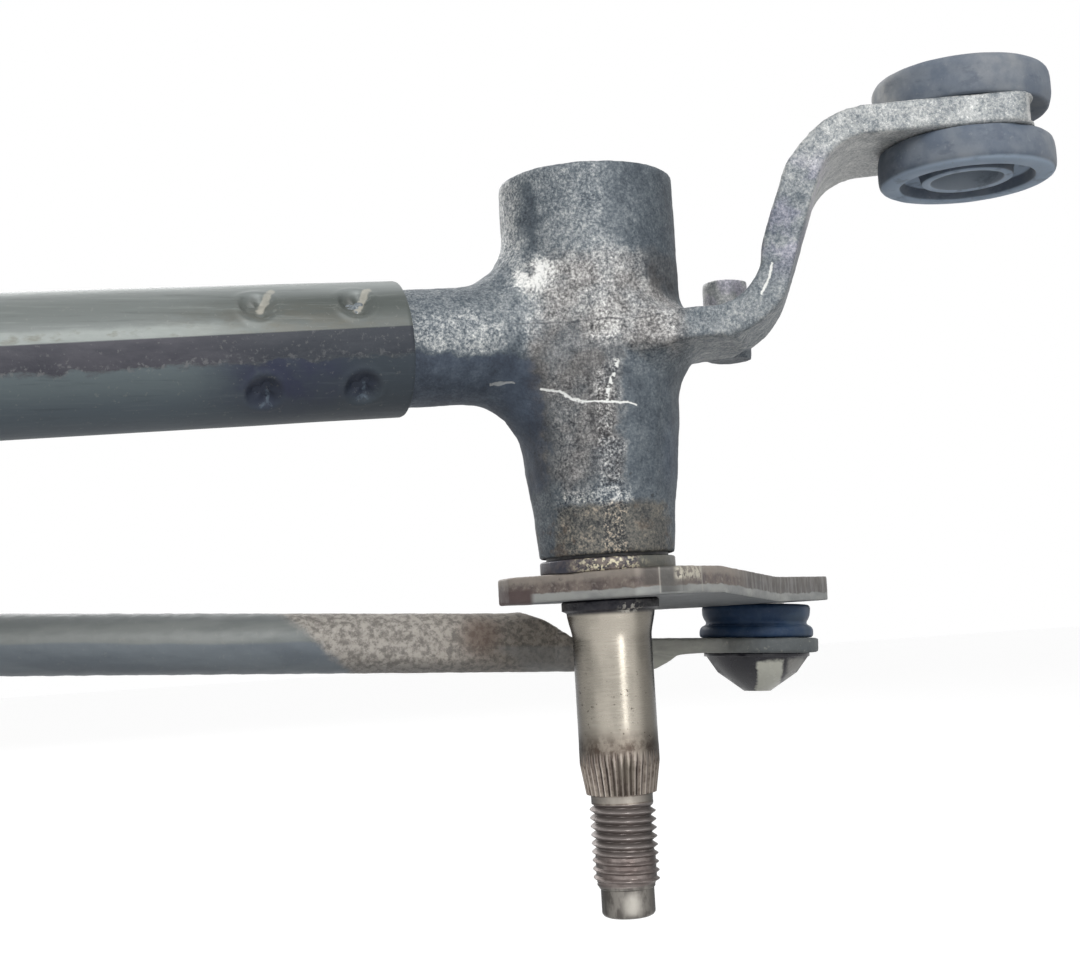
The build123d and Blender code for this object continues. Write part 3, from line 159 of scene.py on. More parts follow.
class Paint:
    """One procedural material, built node by node in the object's own coordinates.

    x, y and z are in millimetres. With mirrored on, the left half of the object is painted as the
    right half's mirror image.
    """

    def __init__(self, name, roughness=0.5, metallic=0.0, specular=0.5, mirrored=False):
        self.material = bpy.data.materials.new(name)
        self.material.use_nodes = True
        self.nodes = self.material.node_tree.nodes
        self.links = self.material.node_tree.links
        self.shader = self.nodes["Principled BSDF"]
        self.shader.inputs["Metallic"].default_value = metallic
        self.shader.inputs["Roughness"].default_value = roughness
        self.shader.inputs["Specular IOR Level"].default_value = specular
        self.colour = None
        self.where = self.node("TexCoord").outputs["Object"]
        x, y, z = (Field(self, axis) for axis in self.node("SeparateXYZ", self.where).outputs)
        self.half = None
        if mirrored:
            from_middle = x - MIDDLE_X * MM
            self.half = self.math("SIGN", from_middle)
            x = self.math("ABSOLUTE", from_middle) + MIDDLE_X * MM
            self.where = self.node("CombineXYZ", x, y, z).outputs[0]
        self.x, self.y, self.z = x / MM, y / MM, z / MM

    def put(self, socket, value):
        """A link where the value is another node's output, else a plain number, colour or vector."""
        value = value.socket if isinstance(value, Field) else value
        if isinstance(value, bpy.types.NodeSocket):
            self.links.new(value, socket)
        else:
            socket.default_value = value

    def node(self, kind, *values, **settings):
        """A new node with its settings, and with values for its first inputs."""
        node = self.nodes.new("ShaderNode" + kind)
        for key, value in settings.items():
            setattr(node, key, value)
        for socket, value in zip(node.inputs, values):
            self.put(socket, value)
        return node

    def math(self, operation, a, b=0.0, c=0.0, clamp=False):
        node = self.node("Math", a, b, c, operation=operation, use_clamp=clamp)
        return Field(self, node.outputs[0])

    def vector(self, operation, a, b):
        return self.node("VectorMath", a, b, operation=operation).outputs[0]

    def measured(self, operation, a, b=(0, 0, 0)):
        """A dot product or a length."""
        return Field(self, self.node("VectorMath", a, b, operation=operation).outputs["Value"])

    def scaled(self, vector, factor):
        node = self.node("VectorMath", vector, operation="SCALE")
        self.put(node.inputs["Scale"], factor)
        return node.outputs[0]

    def noise_node(self, size, detail=3.0, rough=0.55, stretch=(1, 1, 1)):
        """Soft noise whose spots are about size millimetres, wider along the stretched axes."""
        squeezed = self.vector("MULTIPLY", self.where, [1 / s for s in stretch])
        return self.node("TexNoise", squeezed, 0.0, 1 / (size * MM), detail, rough)

    def noise(self, *settings):
        return Field(self, self.noise_node(*settings).outputs[0])

    def spot(self, centre, inner, outer, stretch=(1, 1, 1)):
        """1 within inner millimetres of a point and 0 beyond outer, wider along the stretched axes."""
        offset = self.vector("SUBTRACT", self.where, [c * MM for c in centre])
        away = self.measured("LENGTH", self.vector("DIVIDE", offset, stretch))
        return away.step(outer * MM, inner * MM)

    def streak(self, points, width):
        """1 on a shaky line through points, in millimetres, seen from the front."""
        shake = self.vector("SUBTRACT", self.noise_node(1.2, 3, 0.6).outputs[1], (0.5, 0.5, 0.5))
        where = self.vector("ADD", self.where, self.scaled(shake, 0.8 * MM))
        depth = self.measured("DOT_PRODUCT", where, FRONT)
        where = self.vector("SUBTRACT", where, self.scaled(FRONT, depth))
        flat = [point - FRONT * point.dot(FRONT) for point in map(Vector, points)]
        away = []
        for start, end in zip(flat, flat[1:]):
            run = (end - start) * MM
            offset = self.vector("SUBTRACT", where, start * MM)
            share = self.measured("DOT_PRODUCT", offset, run / run.length_squared)
            foot = self.scaled(run, share.clamped())
            away.append(self.measured("LENGTH", self.vector("SUBTRACT", offset, foot)))
        nearest = joined("MINIMUM", away)
        return nearest.step(width * MM, 0.45 * width * MM) * depth.step(0, 2 * MM)

    def along(self, direction, x=0.0, y=0.0):
        """How far along a level direction a point lies from x, y, in millimetres."""
        offset = self.vector("SUBTRACT", self.where, (x * MM, y * MM, 0))
        return self.measured("DOT_PRODUCT", offset, direction) / MM

    def facing(self, direction):
        """1 where the surface faces a direction, -1 where it faces away."""
        normal = self.node("TexCoord").outputs["Normal"]
        if self.half:
            flip = self.node("CombineXYZ", self.half, 1.0, 1.0)
            normal = self.vector("MULTIPLY", normal, flip.outputs[0])
        return self.measured("DOT_PRODUCT", normal, direction)

    def ramp(self, value, places, *codes):
        """Colour for a value, from a colour at each of the places."""
        node = self.node("ValToRGB", value)
        elements = node.color_ramp.elements
        while len(elements) < len(places):
            elements.new(1.0)
        for element, place in zip(elements, places):
            element.position = place
        for element, code in zip(elements, codes):
            element.color = shade(code)
        return node.outputs["Color"]

    def mix(self, factor, a, b, mode="MIX"):
        node = self.node("Mix", data_type="RGBA", blend_type=mode)
        self.put(node.inputs["Factor"], factor)
        inputs = [s for s in node.inputs if s.type == "RGBA"]
        for socket, colour in zip(inputs, (a, b)):
            self.put(socket, shade(colour) if isinstance(colour, str) else colour)
        return [s for s in node.outputs if s.type == "RGBA"][0]

    def coat(self, colour, mask):
        """Lays a colour over what is there, where the mask is 1."""
        self.colour = self.mix(mask, self.colour, colour)

    def tint(self, factors, mask):
        """Multiplies what is there by a colour, where the mask is 1."""
        self.colour = self.mix(mask, self.colour, (*factors, 1), "MULTIPLY")

    def shade_sides(self, share):
        """Painted shade: darkens upright faces that turn away from the front and the back."""
        front = self.math("ABSOLUTE", self.facing(FRONT))
        level = self.math("ABSOLUTE", self.facing((0, 0, 1)))
        away = (1.0 - front) * (1.0 - level)
        self.coat("000000", self.math("MULTIPLY", away, share, clamp=True))

    def bump(self, *layers):
        """Layers of (height, depth in millimetres)."""
        normal = None
        for height, depth in layers:
            node = self.node("Bump")
            node.inputs["Strength"].default_value = 1.0
            node.inputs["Distance"].default_value = depth * MM
            self.put(node.inputs["Height"], height)
            if normal:
                self.links.new(normal, node.inputs["Normal"])
            normal = node.outputs["Normal"]
        self.links.new(normal, self.shader.inputs["Normal"])

    def finish(self, roughness=None, metallic=None):
        values = {"Base Color": self.colour, "Roughness": roughness, "Metallic": metallic}
        for name, value in values.items():
            if value is not None:
                self.put(self.shader.inputs[name], value)
        return self.material


# Materials, one for each slot of the record, and a few of their own for single pieces


def cast_metal():
    """Weathered cast aluminium: blue-grey, rubbed bright on the ridges, brown at the lower rim, and painted
    with shade, reflections and highlights.
    """
    p = Paint("cast_metal", roughness=0.55, metallic=0.12, mirrored=True)
    across, height, along = p.along(ACROSS), p.z, p.along(EAR_ALONG)
    side, level, edge = across.ragged(4.5, 3.4), height.ragged(4.5, 3.4), across.ragged(1.5, 0.4)
    ear = along.step(13, 16)
    neck = across.step(-12.5, -15)
    upper = level.step(73.5, 76.5)
    lower = level.step(60.5, 57)
    column = lower * edge.step(-0.9, -0.6) * side.step(3.4, 1.6)
    lip = height.ragged(1.5, 1.0).band(38.4, 40.4, 0.4) * side.band(-7, 4, 1)
    root_shadow = ((across - 6.0) * (height - 67.0)).step(5, 12) * height.step(67, 68)
    rim = height.ragged(2.5, 1.2).step(38.9, 37.6)
    # Painted light and shade on the ear: lighter higher up, and the front face toned apart from the others.
    ear_front = toward(0.52, 0.64, height.ragged(4, 3).step(80, 88))
    ear_front = toward(ear_front, 0.46, along.ragged(4, 2).step(64, 67))
    ear_side = toward(0.53, 0.76, height.step(76, 84))
    ear_tone = toward(ear_side, ear_front, p.facing(EAR_FRONT).step(0.45, 0.8))

    # Besides wear and stains, the tones paint light and shade: a dark band down the barrel's left and its
    # darker right side are painted reflections, it is darker under the neck and below the ear's root by
    # painted shade, the light column is a painted highlight, and the lug is lightened where the ear shades
    # it.
    tone = 0.475
    for target, mask in (
            (0.50, upper * side.band(-6.5, 2, 1.8)),
            (0.60, level.step(74, 77) * side.step(-10.2, -11.4)),
            # painted reflection: the barrel's right side darker
            (0.40, upper * side.band(2.5, 11.5, 1.2)),
            # painted reflection: a dark band down the barrel's left
            (0.35, level.band(76.5, 87, 1.2) * side.band(-9.9, -7.9, 0.8)),
            (0.57, level.band(61.5, 74.5, 1.5) * side.band(-11, 12, 1.2)),
            (0.42, level.band(57.5, 61.5, 1.5) * side.band(-9, 3, 1.5)),
            (0.46, level.band(60, 65, 1.2) * side.band(-9, -1.5, 1.2)),
            (0.57, p.spot((-0.3, -13, 71), 1.5, 6.5, (0.9, 1, 1.1))),
            (0.70, p.spot((-3.0, -12.7, 64.2), 1.2, 4.4, (0.7, 1, 1))),
            (1.04, p.spot((-11.9, -7.5, 72.8), 0.8, 4.8, (1.1, 1, 0.8)) * p.noise(2.5).step(0.36, 0.54)),
            (0.42, lower * side.band(-9.5, -1.9, 1.0)),
            # painted reflection: the dark band down the barrel's left, lower down
            (0.28, level.band(40.5, 61, 1.6) * side.step(-7.0, -9.8)),
            (0.36, lower * edge.band(-1.9, -0.9, 0.3)),
            # painted highlight: the light column
            (0.43, column),
            # painted reflection: the barrel's right side darker, lower down
            (0.36, lower * side.step(2.2, 4.2)),
            (0.32, p.spot((9, -9.5, 45), 1, 6, (1, 1, 1.6))),
            (0.54, lip),
            (0.37, root_shadow * side.step(5.4, 7.8)),
            (0.46, neck * level.step(65.5, 67.5)),
            (0.57, neck * level.band(61.2, 66.2, 0.8)),
            # painted shade under the neck
            (0.31, neck * level.step(61.4, 58)),
            (ear_tone, ear),
            # painted light: the lug lightened where the ear shades it
            (0.74, p.spot((24.8, 3.6, 70), 4.4, 5.0, (1, 1, 2)) * height.step(67, 69)),
            (0.40, p.spot((24.8, 3.6, 61.7), 4.2, 5.2)),
            (0.385, rim)):
        tone = toward(tone, target, mask)

    grain = (p.noise(1.2, 3, 0.6) - 0.5) * 0.4 + p.noise(0.4, 3, 0.75)
    force = toward(p.math("MINIMUM", (tone - 0.36) * 5.0 + 0.6, 2.2) * 0.85, 0.8, ear)
    force = most(force, rim * 0.75, most(column, lip) * 2.2, lower * side.band(-8, 3, 1) * 1.15)
    light = (grain - 0.5) * force + tone + p.noise(3.4, 4, 0.65).range(-0.2, 0.2)
    light += (p.noise(2.6, 4, 0.6, (1, 1, 1.5)) - 0.5) * ear * 0.25
    light += p.noise(0.36, 2, 0.5).step(0.6, 0.7) * tone.step(0.48, 0.62) * 0.14

    places = (0.0, 0.18, 0.30, 0.42, 0.55, 0.70, 0.85, 1.0)
    p.colour = p.ramp(light, places, "0e121a", "262d37", "444d56", "626b72",
                      "868c90", "b0b3b3", "d8d9d7", "f6f6f3")
    neutral = p.ramp(light, places, "141416", "2e2d2f", "4b4a4b", "696867",
                     "8c8a89", "b4b2b0", "dad9d7", "f6f6f3")
    warm = most(rim * side.band(-7.5, 9, 1), lower * side.band(-9, -1.9, 1) * 0.15)
    p.tint((1.22, 0.95, 0.70), warm * 0.85)
    worn = level.band(41, 75, 1.5) * side.band(-9.5, 13, 1.5)
    worn *= most(level.step(58.5, 62.5), side.step(4, 2))
    p.coat(neutral, worn * p.noise(4.5).step(0.35, 0.65).range(0.5, 0.95))
    p.tint((1.02, 0.97, 1.1), ear * height.band(70, 86, 3) * p.noise(4).step(0.4, 0.6))
    p.coat("544438", rim * p.noise(2.6, 4, 0.6).step(0.55, 0.66) * 0.5)
    # Blue tint on the darkest tones, much of them painted shade.
    p.tint((0.86, 0.92, 1.1), tone.step(0.36, 0.29) * 0.8)
    p.coat("24262c", p.noise(1.0, 3, 0.6).step(0.64, 0.69) * height.step(64, 41) * 0.7)
    seam = height.ragged(3, 0.5).band(64.95, 65.15, 0.1) * across.step(9, 7) * p.y.step(-2, -5)
    p.coat("343840", seam * across.step(-13, -11) * 0.5)
    scratch = most(
        p.streak([(-11.1, -5.7, 55.7), (-9.2, -8.3, 55.1), (-8, -9.3, 53.8), (-6.4, -10.4, 53.3),
                  (-0.2, -12.2, 52.8), (1.2, -12.1, 52.4)], 0.22),
        p.streak([(-9, -8.6, 54.8), (-8, -9.3, 53.8), (-6.4, -10.4, 53.2)], 0.36) * grain.step(0.4, 0.5),
        p.streak([(-1.6, -12.7, 59), (-2.2, -12.4, 57.1), (-3, -12.1, 55.2), (-3.3, -11.8, 53.4)], 0.42)
        * p.noise(0.8).step(0.42, 0.5),
        p.streak([(-19.2, -6, 56.6), (-15.5, -6.1, 56.8)], 0.22) * 0.4,
        p.streak([(17.5, -22.4, 67.0), (18.6, -22.9, 69.4), (19.1, -23.2, 71.4)], 0.24))
    p.coat("ecedea", scratch)
    # Painted shade on the side faces.
    p.shade_sides(0.35)
    p.bump((p.noise(2.2), 0.1), (grain, 0.09), (1.0 - scratch, 0.05))
    return p.finish(light.step(0.4, 0.8).range(0.62, 0.45))


def gear_case_metal():
    p = Paint("gear_case_metal", metallic=0.6)
    grain = p.noise(0.7, 4, 0.65)
    p.colour = p.mix(p.noise(12).step(0.35, 0.65), "84898d", "a0a4a6")
    p.coat("c4c6c6", grain.step(0.55, 0.7) * 0.35)
    p.coat("505050", p.noise(5, 5, 0.65).step(0.56, 0.74) * 0.55)
    p.bump((p.noise(2.5), 0.08), (grain, 0.05))
    return p.finish(grain.range(0.6, 0.38))


def tube_steel():
    """Olive-grey coating above with a painted lighter top and a painted highlight band, a purple-brown band
    along the front, and blue-grey below, darker as painted shade; the dimples carry painted shade and
    highlights.
    """
    p = Paint("tube_steel", metallic=0.12, mirrored=True)
    axis = most(p.x * TUBE_SLOPE + TUBE_AXIS_Z, TUBE_LEVEL_Z)
    height = (p.z - axis) / TUBE_R
    front = p.y.step(3, -2)
    inboard = p.x.step(-44, -68)
    smudge = p.noise(1.6, 4, 0.65, (2.5, 1, 1))
    scored = p.noise(0.8, 4, 0.6, (14, 1, 1))
    over = height - (p.x * 0.0012 + 0.205)
    torn = over + smudge.range(-0.07, 0.07)
    below = over + p.noise(2.0, 4, 0.7, (2, 1, 1)).range(0.16, -0.16)
    lower = below.step(-0.36, -0.42)
    band = over.step(0.012, -0.012) * below.step(-0.44, -0.36) * front

    p.colour = p.mix(inboard, "4a504d", "737977")
    p.coat("707674", p.noise(11, 4, 0.55, (6, 1, 1)).step(0.38, 0.62) * 0.3)
    # Painted light: the top lighter.
    p.coat("949a99", height.step(0.6, 0.88) * inboard.range(0.9, 0.3))
    p.coat("969c98", scored.step(0.54, 0.72) * 0.35)
    p.coat("4c5250", scored.step(0.46, 0.3) * 0.3)
    p.coat("5a584e", p.spot((-50, -9, 64.5), 3, 14, (1.6, 1, 0.35)) * smudge.step(0.35, 0.6) * 0.5)
    # Painted highlight: a light band above the purple band.
    shine_highlight = torn.band(0.0, 0.17, 0.05) * inboard * front
    p.coat("8f9692", shine_highlight * p.noise(1.4, 4, 0.7, (3, 1, 1)).range(0.2, 1.0))
    olive = torn.band(0.02, 0.14, 0.03) * front * p.noise(2.4, 4, 0.6, (2, 1, 1)).step(0.5, 0.62)
    p.coat("5c5a4c", olive * inboard.range(0.35, 0.6))

    # Painted shade: the lower half darker blue-grey, a little lighter along the very bottom.
    dark = p.mix(p.noise(9, 3, 0.5, (4, 1, 1)).step(0.4, 0.6), "2b353e", "353e46")
    dark = p.mix(inboard, dark, p.mix(height.step(-0.45, -0.8), "5d686c", "505b63"))
    dark = p.mix(height.step(-0.85, -0.99) * 0.4, dark, "5e646a")
    dark = p.mix(scored.step(0.46, 0.3) * 0.3, dark, "2c3438")
    dark = p.mix(scored.step(0.56, 0.74) * 0.25, dark, "70787c")
    ink = p.noise(3.5, 4, 0.6).step(0.35, 0.6).range(0.5, 0.95)
    dark = p.mix(p.spot((-50, -8, 57.5), 2, 10, (1.4, 1, 0.8)) * ink, dark, "232940")
    p.coat(dark, lower * front)
    p.coat(dark, height.step(-0.05, -0.4) * (1.0 - front))

    blotch = p.noise(2.6, 4, 0.6, (3, 1, 1)).step(0.38, 0.64)
    purple = p.mix(blotch, p.mix(inboard, "1f2530", "2d2d38"),
                   p.mix(inboard, "2e333c", "403f48"))
    p.coat(purple, band * 0.95)
    flakes = below.band(-0.42, -0.30, 0.04) * p.noise(0.9, 3, 0.6).step(0.52, 0.64)
    flakes = most(flakes, band * p.x.step(-62, -52) * p.noise(0.8, 4, 0.7).step(0.58, 0.7))
    p.coat("7e7f80", flakes * inboard.range(0.28, 0.5))

    # Painted shade and highlights in the dimples: a dark hollow and a bright ridge in the upper ones, a
    # dark pit and a bright Y in the lower ones.
    hollow_shade, ridge_highlight, pit, star = [], [], [], []
    for x, z in ((-39.6, 68.4), (-53.4, 68.2)):
        hollow_shade.append(p.spot((x, -7.9, z), 0.8, 1.9, (0.9, 1, 1)))
        ridge_highlight.append(p.streak([(x + 2.6, -6.2, z + 1.5), (x + 0.3, -8.5, z - 1.5)], 0.7))
    for x, z in ((-38.6, 55.9), (-52.4, 54.9)):
        fork = (x + 0.1, -7.0, z - 0.5)
        pit.append(p.spot((x, -7.4, z + 0.4), 1.6, 3.2))
        star.append(p.streak([(x, -7.6, z + 0.9), fork, (x - 0.7, -6.4, z - 1.3)], 0.34))
        star.append(p.streak([fork, (x + 0.8, -6.4, z - 1.2)], 0.34))
    p.coat("3e3e3a", most(*hollow_shade) * 0.6)
    p.coat("bcb8ac", most(*ridge_highlight) * smudge.range(0.0, 1.2))
    p.coat("182234", most(*pit) * 0.9)
    p.coat("70808e", most(*star) * p.noise(0.6, 3, 0.6).range(-0.5, 0.9))
    p.coat("9e9e98", p.noise(0.7, 3, 0.6).step(0.62, 0.7) * 0.15)
    # Painted shade on the side faces.
    p.shade_sides(0.15)
    p.bump((p.noise(0.8, 3, 0.6, (3, 1, 1)), 0.03), (band * p.noise(0.6), 0.05))
    return p.finish(most(band, lower).range(0.45, 0.6))


def link_steel(side):
    """The rod's coating, darker below as painted shade, with a rough bare stretch where the press squeezed
    it.
    """
    p = Paint(side + "_link_steel", metallic=0.12, mirrored=True)
    ball_x = LEVER_BALL_X[side]
    rise = LINK_RISE / LINK_RUN
    height = (p.z - (p.x * -rise + (BALL_Z + BAR_LIFT + rise * ball_x))) / ROD_R
    along = p.x - (ball_x - LEVER_BALL_X["right"])
    streaks = p.noise(5, 4, 0.6, (5, 1, 1)).step(0.38, 0.62)
    pitted = p.noise(1.0, 4, 0.7)
    bare = (height * 5.2 + along).ragged(2.4, 2.2).step(-40.5, -37.5) * p.y.step(60, 30)
    lower = (height + p.noise(4, 3, 0.5, (4, 1, 1)).range(-0.12, 0.12)).step(0.06, -0.06)
    plain = along.step(5, 12)

    p.colour = p.mix(streaks, "707574", "808482")
    p.coat("686e70", height.step(0.55, 0.9) * 0.4)
    # Painted shade: the lower half darker.
    p.coat(p.mix(streaks, "60686f", "6e767c"), lower)
    rough = p.mix(pitted.step(0.36, 0.62), "7a756f", "b6b0a8")
    rusty = p.mix(pitted.step(0.38, 0.6), "68625c", "988f84")
    rough = p.mix(along.ragged(4, 4).step(-26, -8) * 0.75, rough, rusty)
    rough = p.mix(p.spot((ball_x - 49, 26, 20), 1, 5) * 0.6, rough, "685042")
    # Painted shade: the bare stretch darker towards its bottom.
    rough = p.mix(height.step(-0.5, -0.85) * 0.35, rough, "5a5c5e")
    wedge = (height * 6.0 + along).ragged(2, 1.2).step(-12, -9) * height.step(-0.05, -0.2)
    rough = p.mix(wedge * along.step(4, 1) * 0.55, rough, "8a8b8a")
    rough = p.mix(plain, rough, p.mix(streaks, "9c9c95", "b8b8ae"))
    rough = p.mix(along.step(22, 33) * plain * 0.9, rough, "42494e")
    p.coat(rough, bare * 0.95)
    p.coat("a8a49a", p.noise(0.7, 3, 0.6).step(0.6, 0.7) * bare.range(0.1, 0.3))
    # Painted shade on the side faces.
    p.shade_sides(0.1)
    p.bump((bare * p.noise(1.3, 4, 0.65), 0.22), (p.noise(0.7, 3, 0.6), 0.03))
    return p.finish(bare.range(0.5, 0.65))


def plated_steel():
    p = Paint("plated_steel", metallic=0.7)
    grain = p.noise(0.8, 4, 0.6)
    p.colour = p.mix(p.noise(7).step(0.35, 0.65), "92918a", "aeaca4")
    p.coat("6c5444", p.noise(3.5, 5, 0.7).step(0.58, 0.72) * 0.7)
    p.bump((grain, 0.03))
    return p.finish(grain.range(0.5, 0.32))


def greasy_steel():
    """The thrust washer: dark grease with bright brass-coloured grit in it."""
    p = Paint("greasy_steel", metallic=0.1, mirrored=True)
    lump = p.noise(1.1, 4, 0.65)
    side = p.along(ACROSS).ragged(2, 1.5)
    p.colour = p.mix(lump.step(0.4, 0.6), "34323a", "746a64")
    p.coat("242638", side.step(-5.0, -6.5) * 0.7)
    p.coat("60615a", side.step(3.5, 5.0) * 0.8)
    near = p.spot((-3.8, -9.6, 29.6), 1.2, 7.5, (1, 1, 0.5))
    p.coat("d6ceb2", p.noise(0.6, 3, 0.6).step(0.5, 0.6) * near)
    # Painted shade on the side faces.
    p.shade_sides(0.3)
    p.bump((lump, 0.12))
    return p.finish(lump.range(0.3, 0.6))


def shaft_steel():
    """Ground steel with fine rings, stained brown towards the arm end, greasy at the lever, with painted
    shade on its thread and its sides.
    """
    p = Paint("shaft_steel", mirrored=True)
    rings = p.noise(0.35, 2, 0.5, (9, 9, 1))
    stain = p.noise(2.0, 4, 0.65)
    turn = p.math("ARCTAN2", p.y, p.x)
    p.colour = p.mix(p.noise(5, 3, 0.5, (1, 1, 2)).step(0.4, 0.62), "a39d92", "b4ada1")
    p.coat("c8c1b4", rings.step(0.5, 0.7) * 0.2)
    low = p.z.step(6.2, 2.2)
    brown = p.mix(stain.step(0.42, 0.6), "5c5048", "7e7268")
    p.coat(brown, low * stain.step(0.35, 0.65).range(0.98, 0.55))
    p.coat("3c302a", p.noise(0.7, 2, 0.5).step(0.68, 0.72) * p.z.band(2, 14, 3) * 0.7)

    teeth = p.math("COSINE", turn * TEETH)
    knurl = p.z.step(2.2, 1.0) * p.z.step(-4.75, -4.6)
    p.coat("867c76", knurl * teeth.step(0.1, -0.7) * 0.6)
    p.coat("beb4ac", knurl * teeth.step(0.4, 0.95) * 0.6)
    p.coat("8a8377", knurl * p.spot((-1.2, -5.8, -0.9), 0.9, 2.1, (0.8, 1, 1.3)) * 0.5)
    p.coat("a8a29a", p.z.band(-5.75, -4.75, 0.12) * stain.range(0.6, 1.0))

    # Painted shade: the thread's colours are kept darker, standing in for shade on its slanting flanks.
    wave = p.math("COSINE", (p.z / THREAD_PITCH + turn / (2 * pi)) * (2 * pi))
    worn = p.mix(wave.step(-0.6, 0.7), "7e7774", "99928f")
    dirt = p.mix(stain.step(0.4, 0.6), "7b6f6b", "918783")
    worn = p.mix(p.z.step(-12.2, -14.2) * p.z.step(-18.3, -17.6) * 0.75, worn, dirt)
    bare = p.spot((-1.0, -3.9, -20.6), 0.8, 2.6, (0.8, 1, 1)) * stain.range(0.6, 1.0)
    end = p.mix(p.noise(1.6, 4, 0.65, (1, 1, 2.5)).step(0.4, 0.6), "64605c", "8e8a84")
    worn = p.mix(p.z.step(-17.7, -18.3), worn, p.mix(bare, end, "bab6ae"))
    p.coat(worn, p.z.step(-5.8, -6.1))

    grease = p.z.step(22.0, 22.7)
    nick = p.noise(0.7, 3, 0.6).step(0.5, 0.58) * p.spot((0.4, -7.0, 23.0), 0.6, 2.6, (1, 1, 0.6))
    black = p.mix(stain.step(0.4, 0.6), "1a1a26", "36343a")
    p.coat(p.mix(nick, black, "e2ded4"), grease)
    # Painted shade: the sides darkened, the right side darker still.
    p.shade_sides(1.15)
    p.coat("000000", p.along(ACROSS).step(2.6, 4.2) * 0.4)
    p.bump((rings, 0.01), (stain, 0.03), (grease * p.noise(0.8), 0.25))
    return p.finish(rings.range(0.22, 0.33) + most(low, grease) * 0.24, grease.range(0.9, 0.1))


def lever_steel(side):
    """Pressed plate: rusty brown where the shear tore it, a smooth grey band below, painted shade on its
    underside and on the right lever's short face.
    """
    p = Paint(side + "_lever_steel", metallic=0.1)
    angle = radians(HEADING[side])
    along = p.along((cos(angle), sin(angle), 0), PIVOT_X[side])
    drop = ((along - LEVER_BEND_START) / LEVER_BEND_RUN).clamped() * LEVER_DROP
    height = drop + (p.z - LEVER_Z)
    torn = height.ragged(3.2, 0.6).step(1.25, 1.5)
    bloom = p.noise(2.2, 4, 0.65).step(0.36, 0.62)
    crumbs = most(height.ragged(1.5, 0.8).step(2.4, 3.4) * 0.6,
                  p.noise(0.8, 3, 0.65).step(0.52, 0.68) * 0.45)
    lines = p.mix(p.noise(1.0, 3, 0.6, (1, 1, 8)).step(0.42, 0.62), "545351", "7c7b7a")
    brown = p.mix(bloom, "544a48", "7c716a")
    brown = p.mix(crumbs, brown, "a49c92")
    brown = p.mix(along.step(10, 20) * 0.8, brown, lines)
    grey = p.mix(p.noise(4, 3, 0.5, (2, 2, 1)).step(0.4, 0.6), "888a89", "a0a19e")
    p.colour = p.mix(torn, grey, brown)
    # Painted shade: the underside darker.
    p.coat(p.mix(bloom, "54595d", "6a6d6f"), height.step(0.14, 0.05))
    p.coat("3e3634", p.noise(2.0, 5, 0.65).step(0.6, 0.72) * torn.range(0.25, 0.55))
    if side == "right":
        across = p.along(ACROSS)
        short = across.band(6.8, 13.2, 0.25) * height.step(0.3, 0.5)
        bright = short * height.band(2.2, 4, 0.5) * across.step(8.5, 9.5)
        edges = most(across.band(6.6, 6.75, 0.12), across.band(13.2, 13.35, 0.12))
        p.coat("4a4542", across.band(4.2, 6.8, 0.8) * height.step(1.3, 1.7) * 0.9)
        # Painted shade: the short face darker.
        p.coat("4e4e4c", short * across.step(12, 8) * 0.85)
        p.coat("cec8b8", bright * p.noise(0.9, 3, 0.65).step(0.4, 0.56))
        p.coat("544644", across.step(-11.2, -12.2) * height.step(2.6, 1.8))
        p.coat("bab6ae", edges * height.step(0.2, 0.4) * 0.6)
    # Painted shade on the side faces.
    p.shade_sides(0.15)
    p.bump((p.noise(1.4, 4, 0.65), 0.08), (p.noise(0.5), 0.03))
    return p.finish(bloom.range(0.5, 0.65))


def dark_rubber():
    """The ball joints' boots: navy-black, greasy, with a little dust."""
    p = Paint("dark_rubber", specular=0.2)
    dust = p.noise(2.6, 4, 0.6).step(0.42, 0.7)
    p.colour = p.mix(dust, "243a57", "3a4b64")
    p.coat("6e747a", p.noise(0.6, 3, 0.6).step(0.64, 0.7) * 0.2)
    p.coat("424c54", p.along(ACROSS).step(27, 34) * dust.range(0.3, 0.7))
    p.bump((p.noise(1.4, 4, 0.6), 0.04))
    return p.finish(dust.range(0.45, 0.65))


def grommet_rubber():
    """Grommets: dusty slate rubber, palest on the rims, with painted light on faces that face down and in
    the bore.
    """
    p = Paint("grommet_rubber", mirrored=True)
    dust = p.noise(4, 4, 0.6).step(0.36, 0.66)
    p.colour = p.mix(dust, "5a6574", "767e88")
    rim = most(p.spot((39.5, -23, 97.5), 3.5, 9), p.spot((50, -37, 99), 2, 9) * 0.5,
               p.spot((60, -33, 88), 2, 10) * 0.55, p.spot((44, -36, 80), 1, 7) * 0.55)
    p.coat("aaabaa", rim * p.noise(3.0, 4, 0.6).step(0.32, 0.68).range(0.2, 0.8))
    # Painted light: faces that face down made pale blue.
    p.coat("b2c4d8", p.facing((0, 0, -1)).step(0.4, 0.8) * p.z.step(90, 88) * 0.95)
    # Painted light: the bore made near white.
    hole_light = p.spot((*EYE, 84), 4.4, 6.2, (1, 1, 3)) * p.z.step(91, 88)
    p.coat("e2effc", hole_light * 0.95)
    p.coat("3c485c", p.noise(2.0, 4, 0.6, (2, 2, 1)).step(0.56, 0.68) * 0.35)
    p.coat("96989a", p.noise(0.7, 3, 0.6).step(0.62, 0.72) * 0.3)
    # Painted shade on the side faces.
    p.shade_sides(0.12)
    p.bump((p.noise(1.8, 4, 0.6), 0.06), (p.noise(0.5), 0.02))
    return p.finish(dust.range(0.6, 0.8))


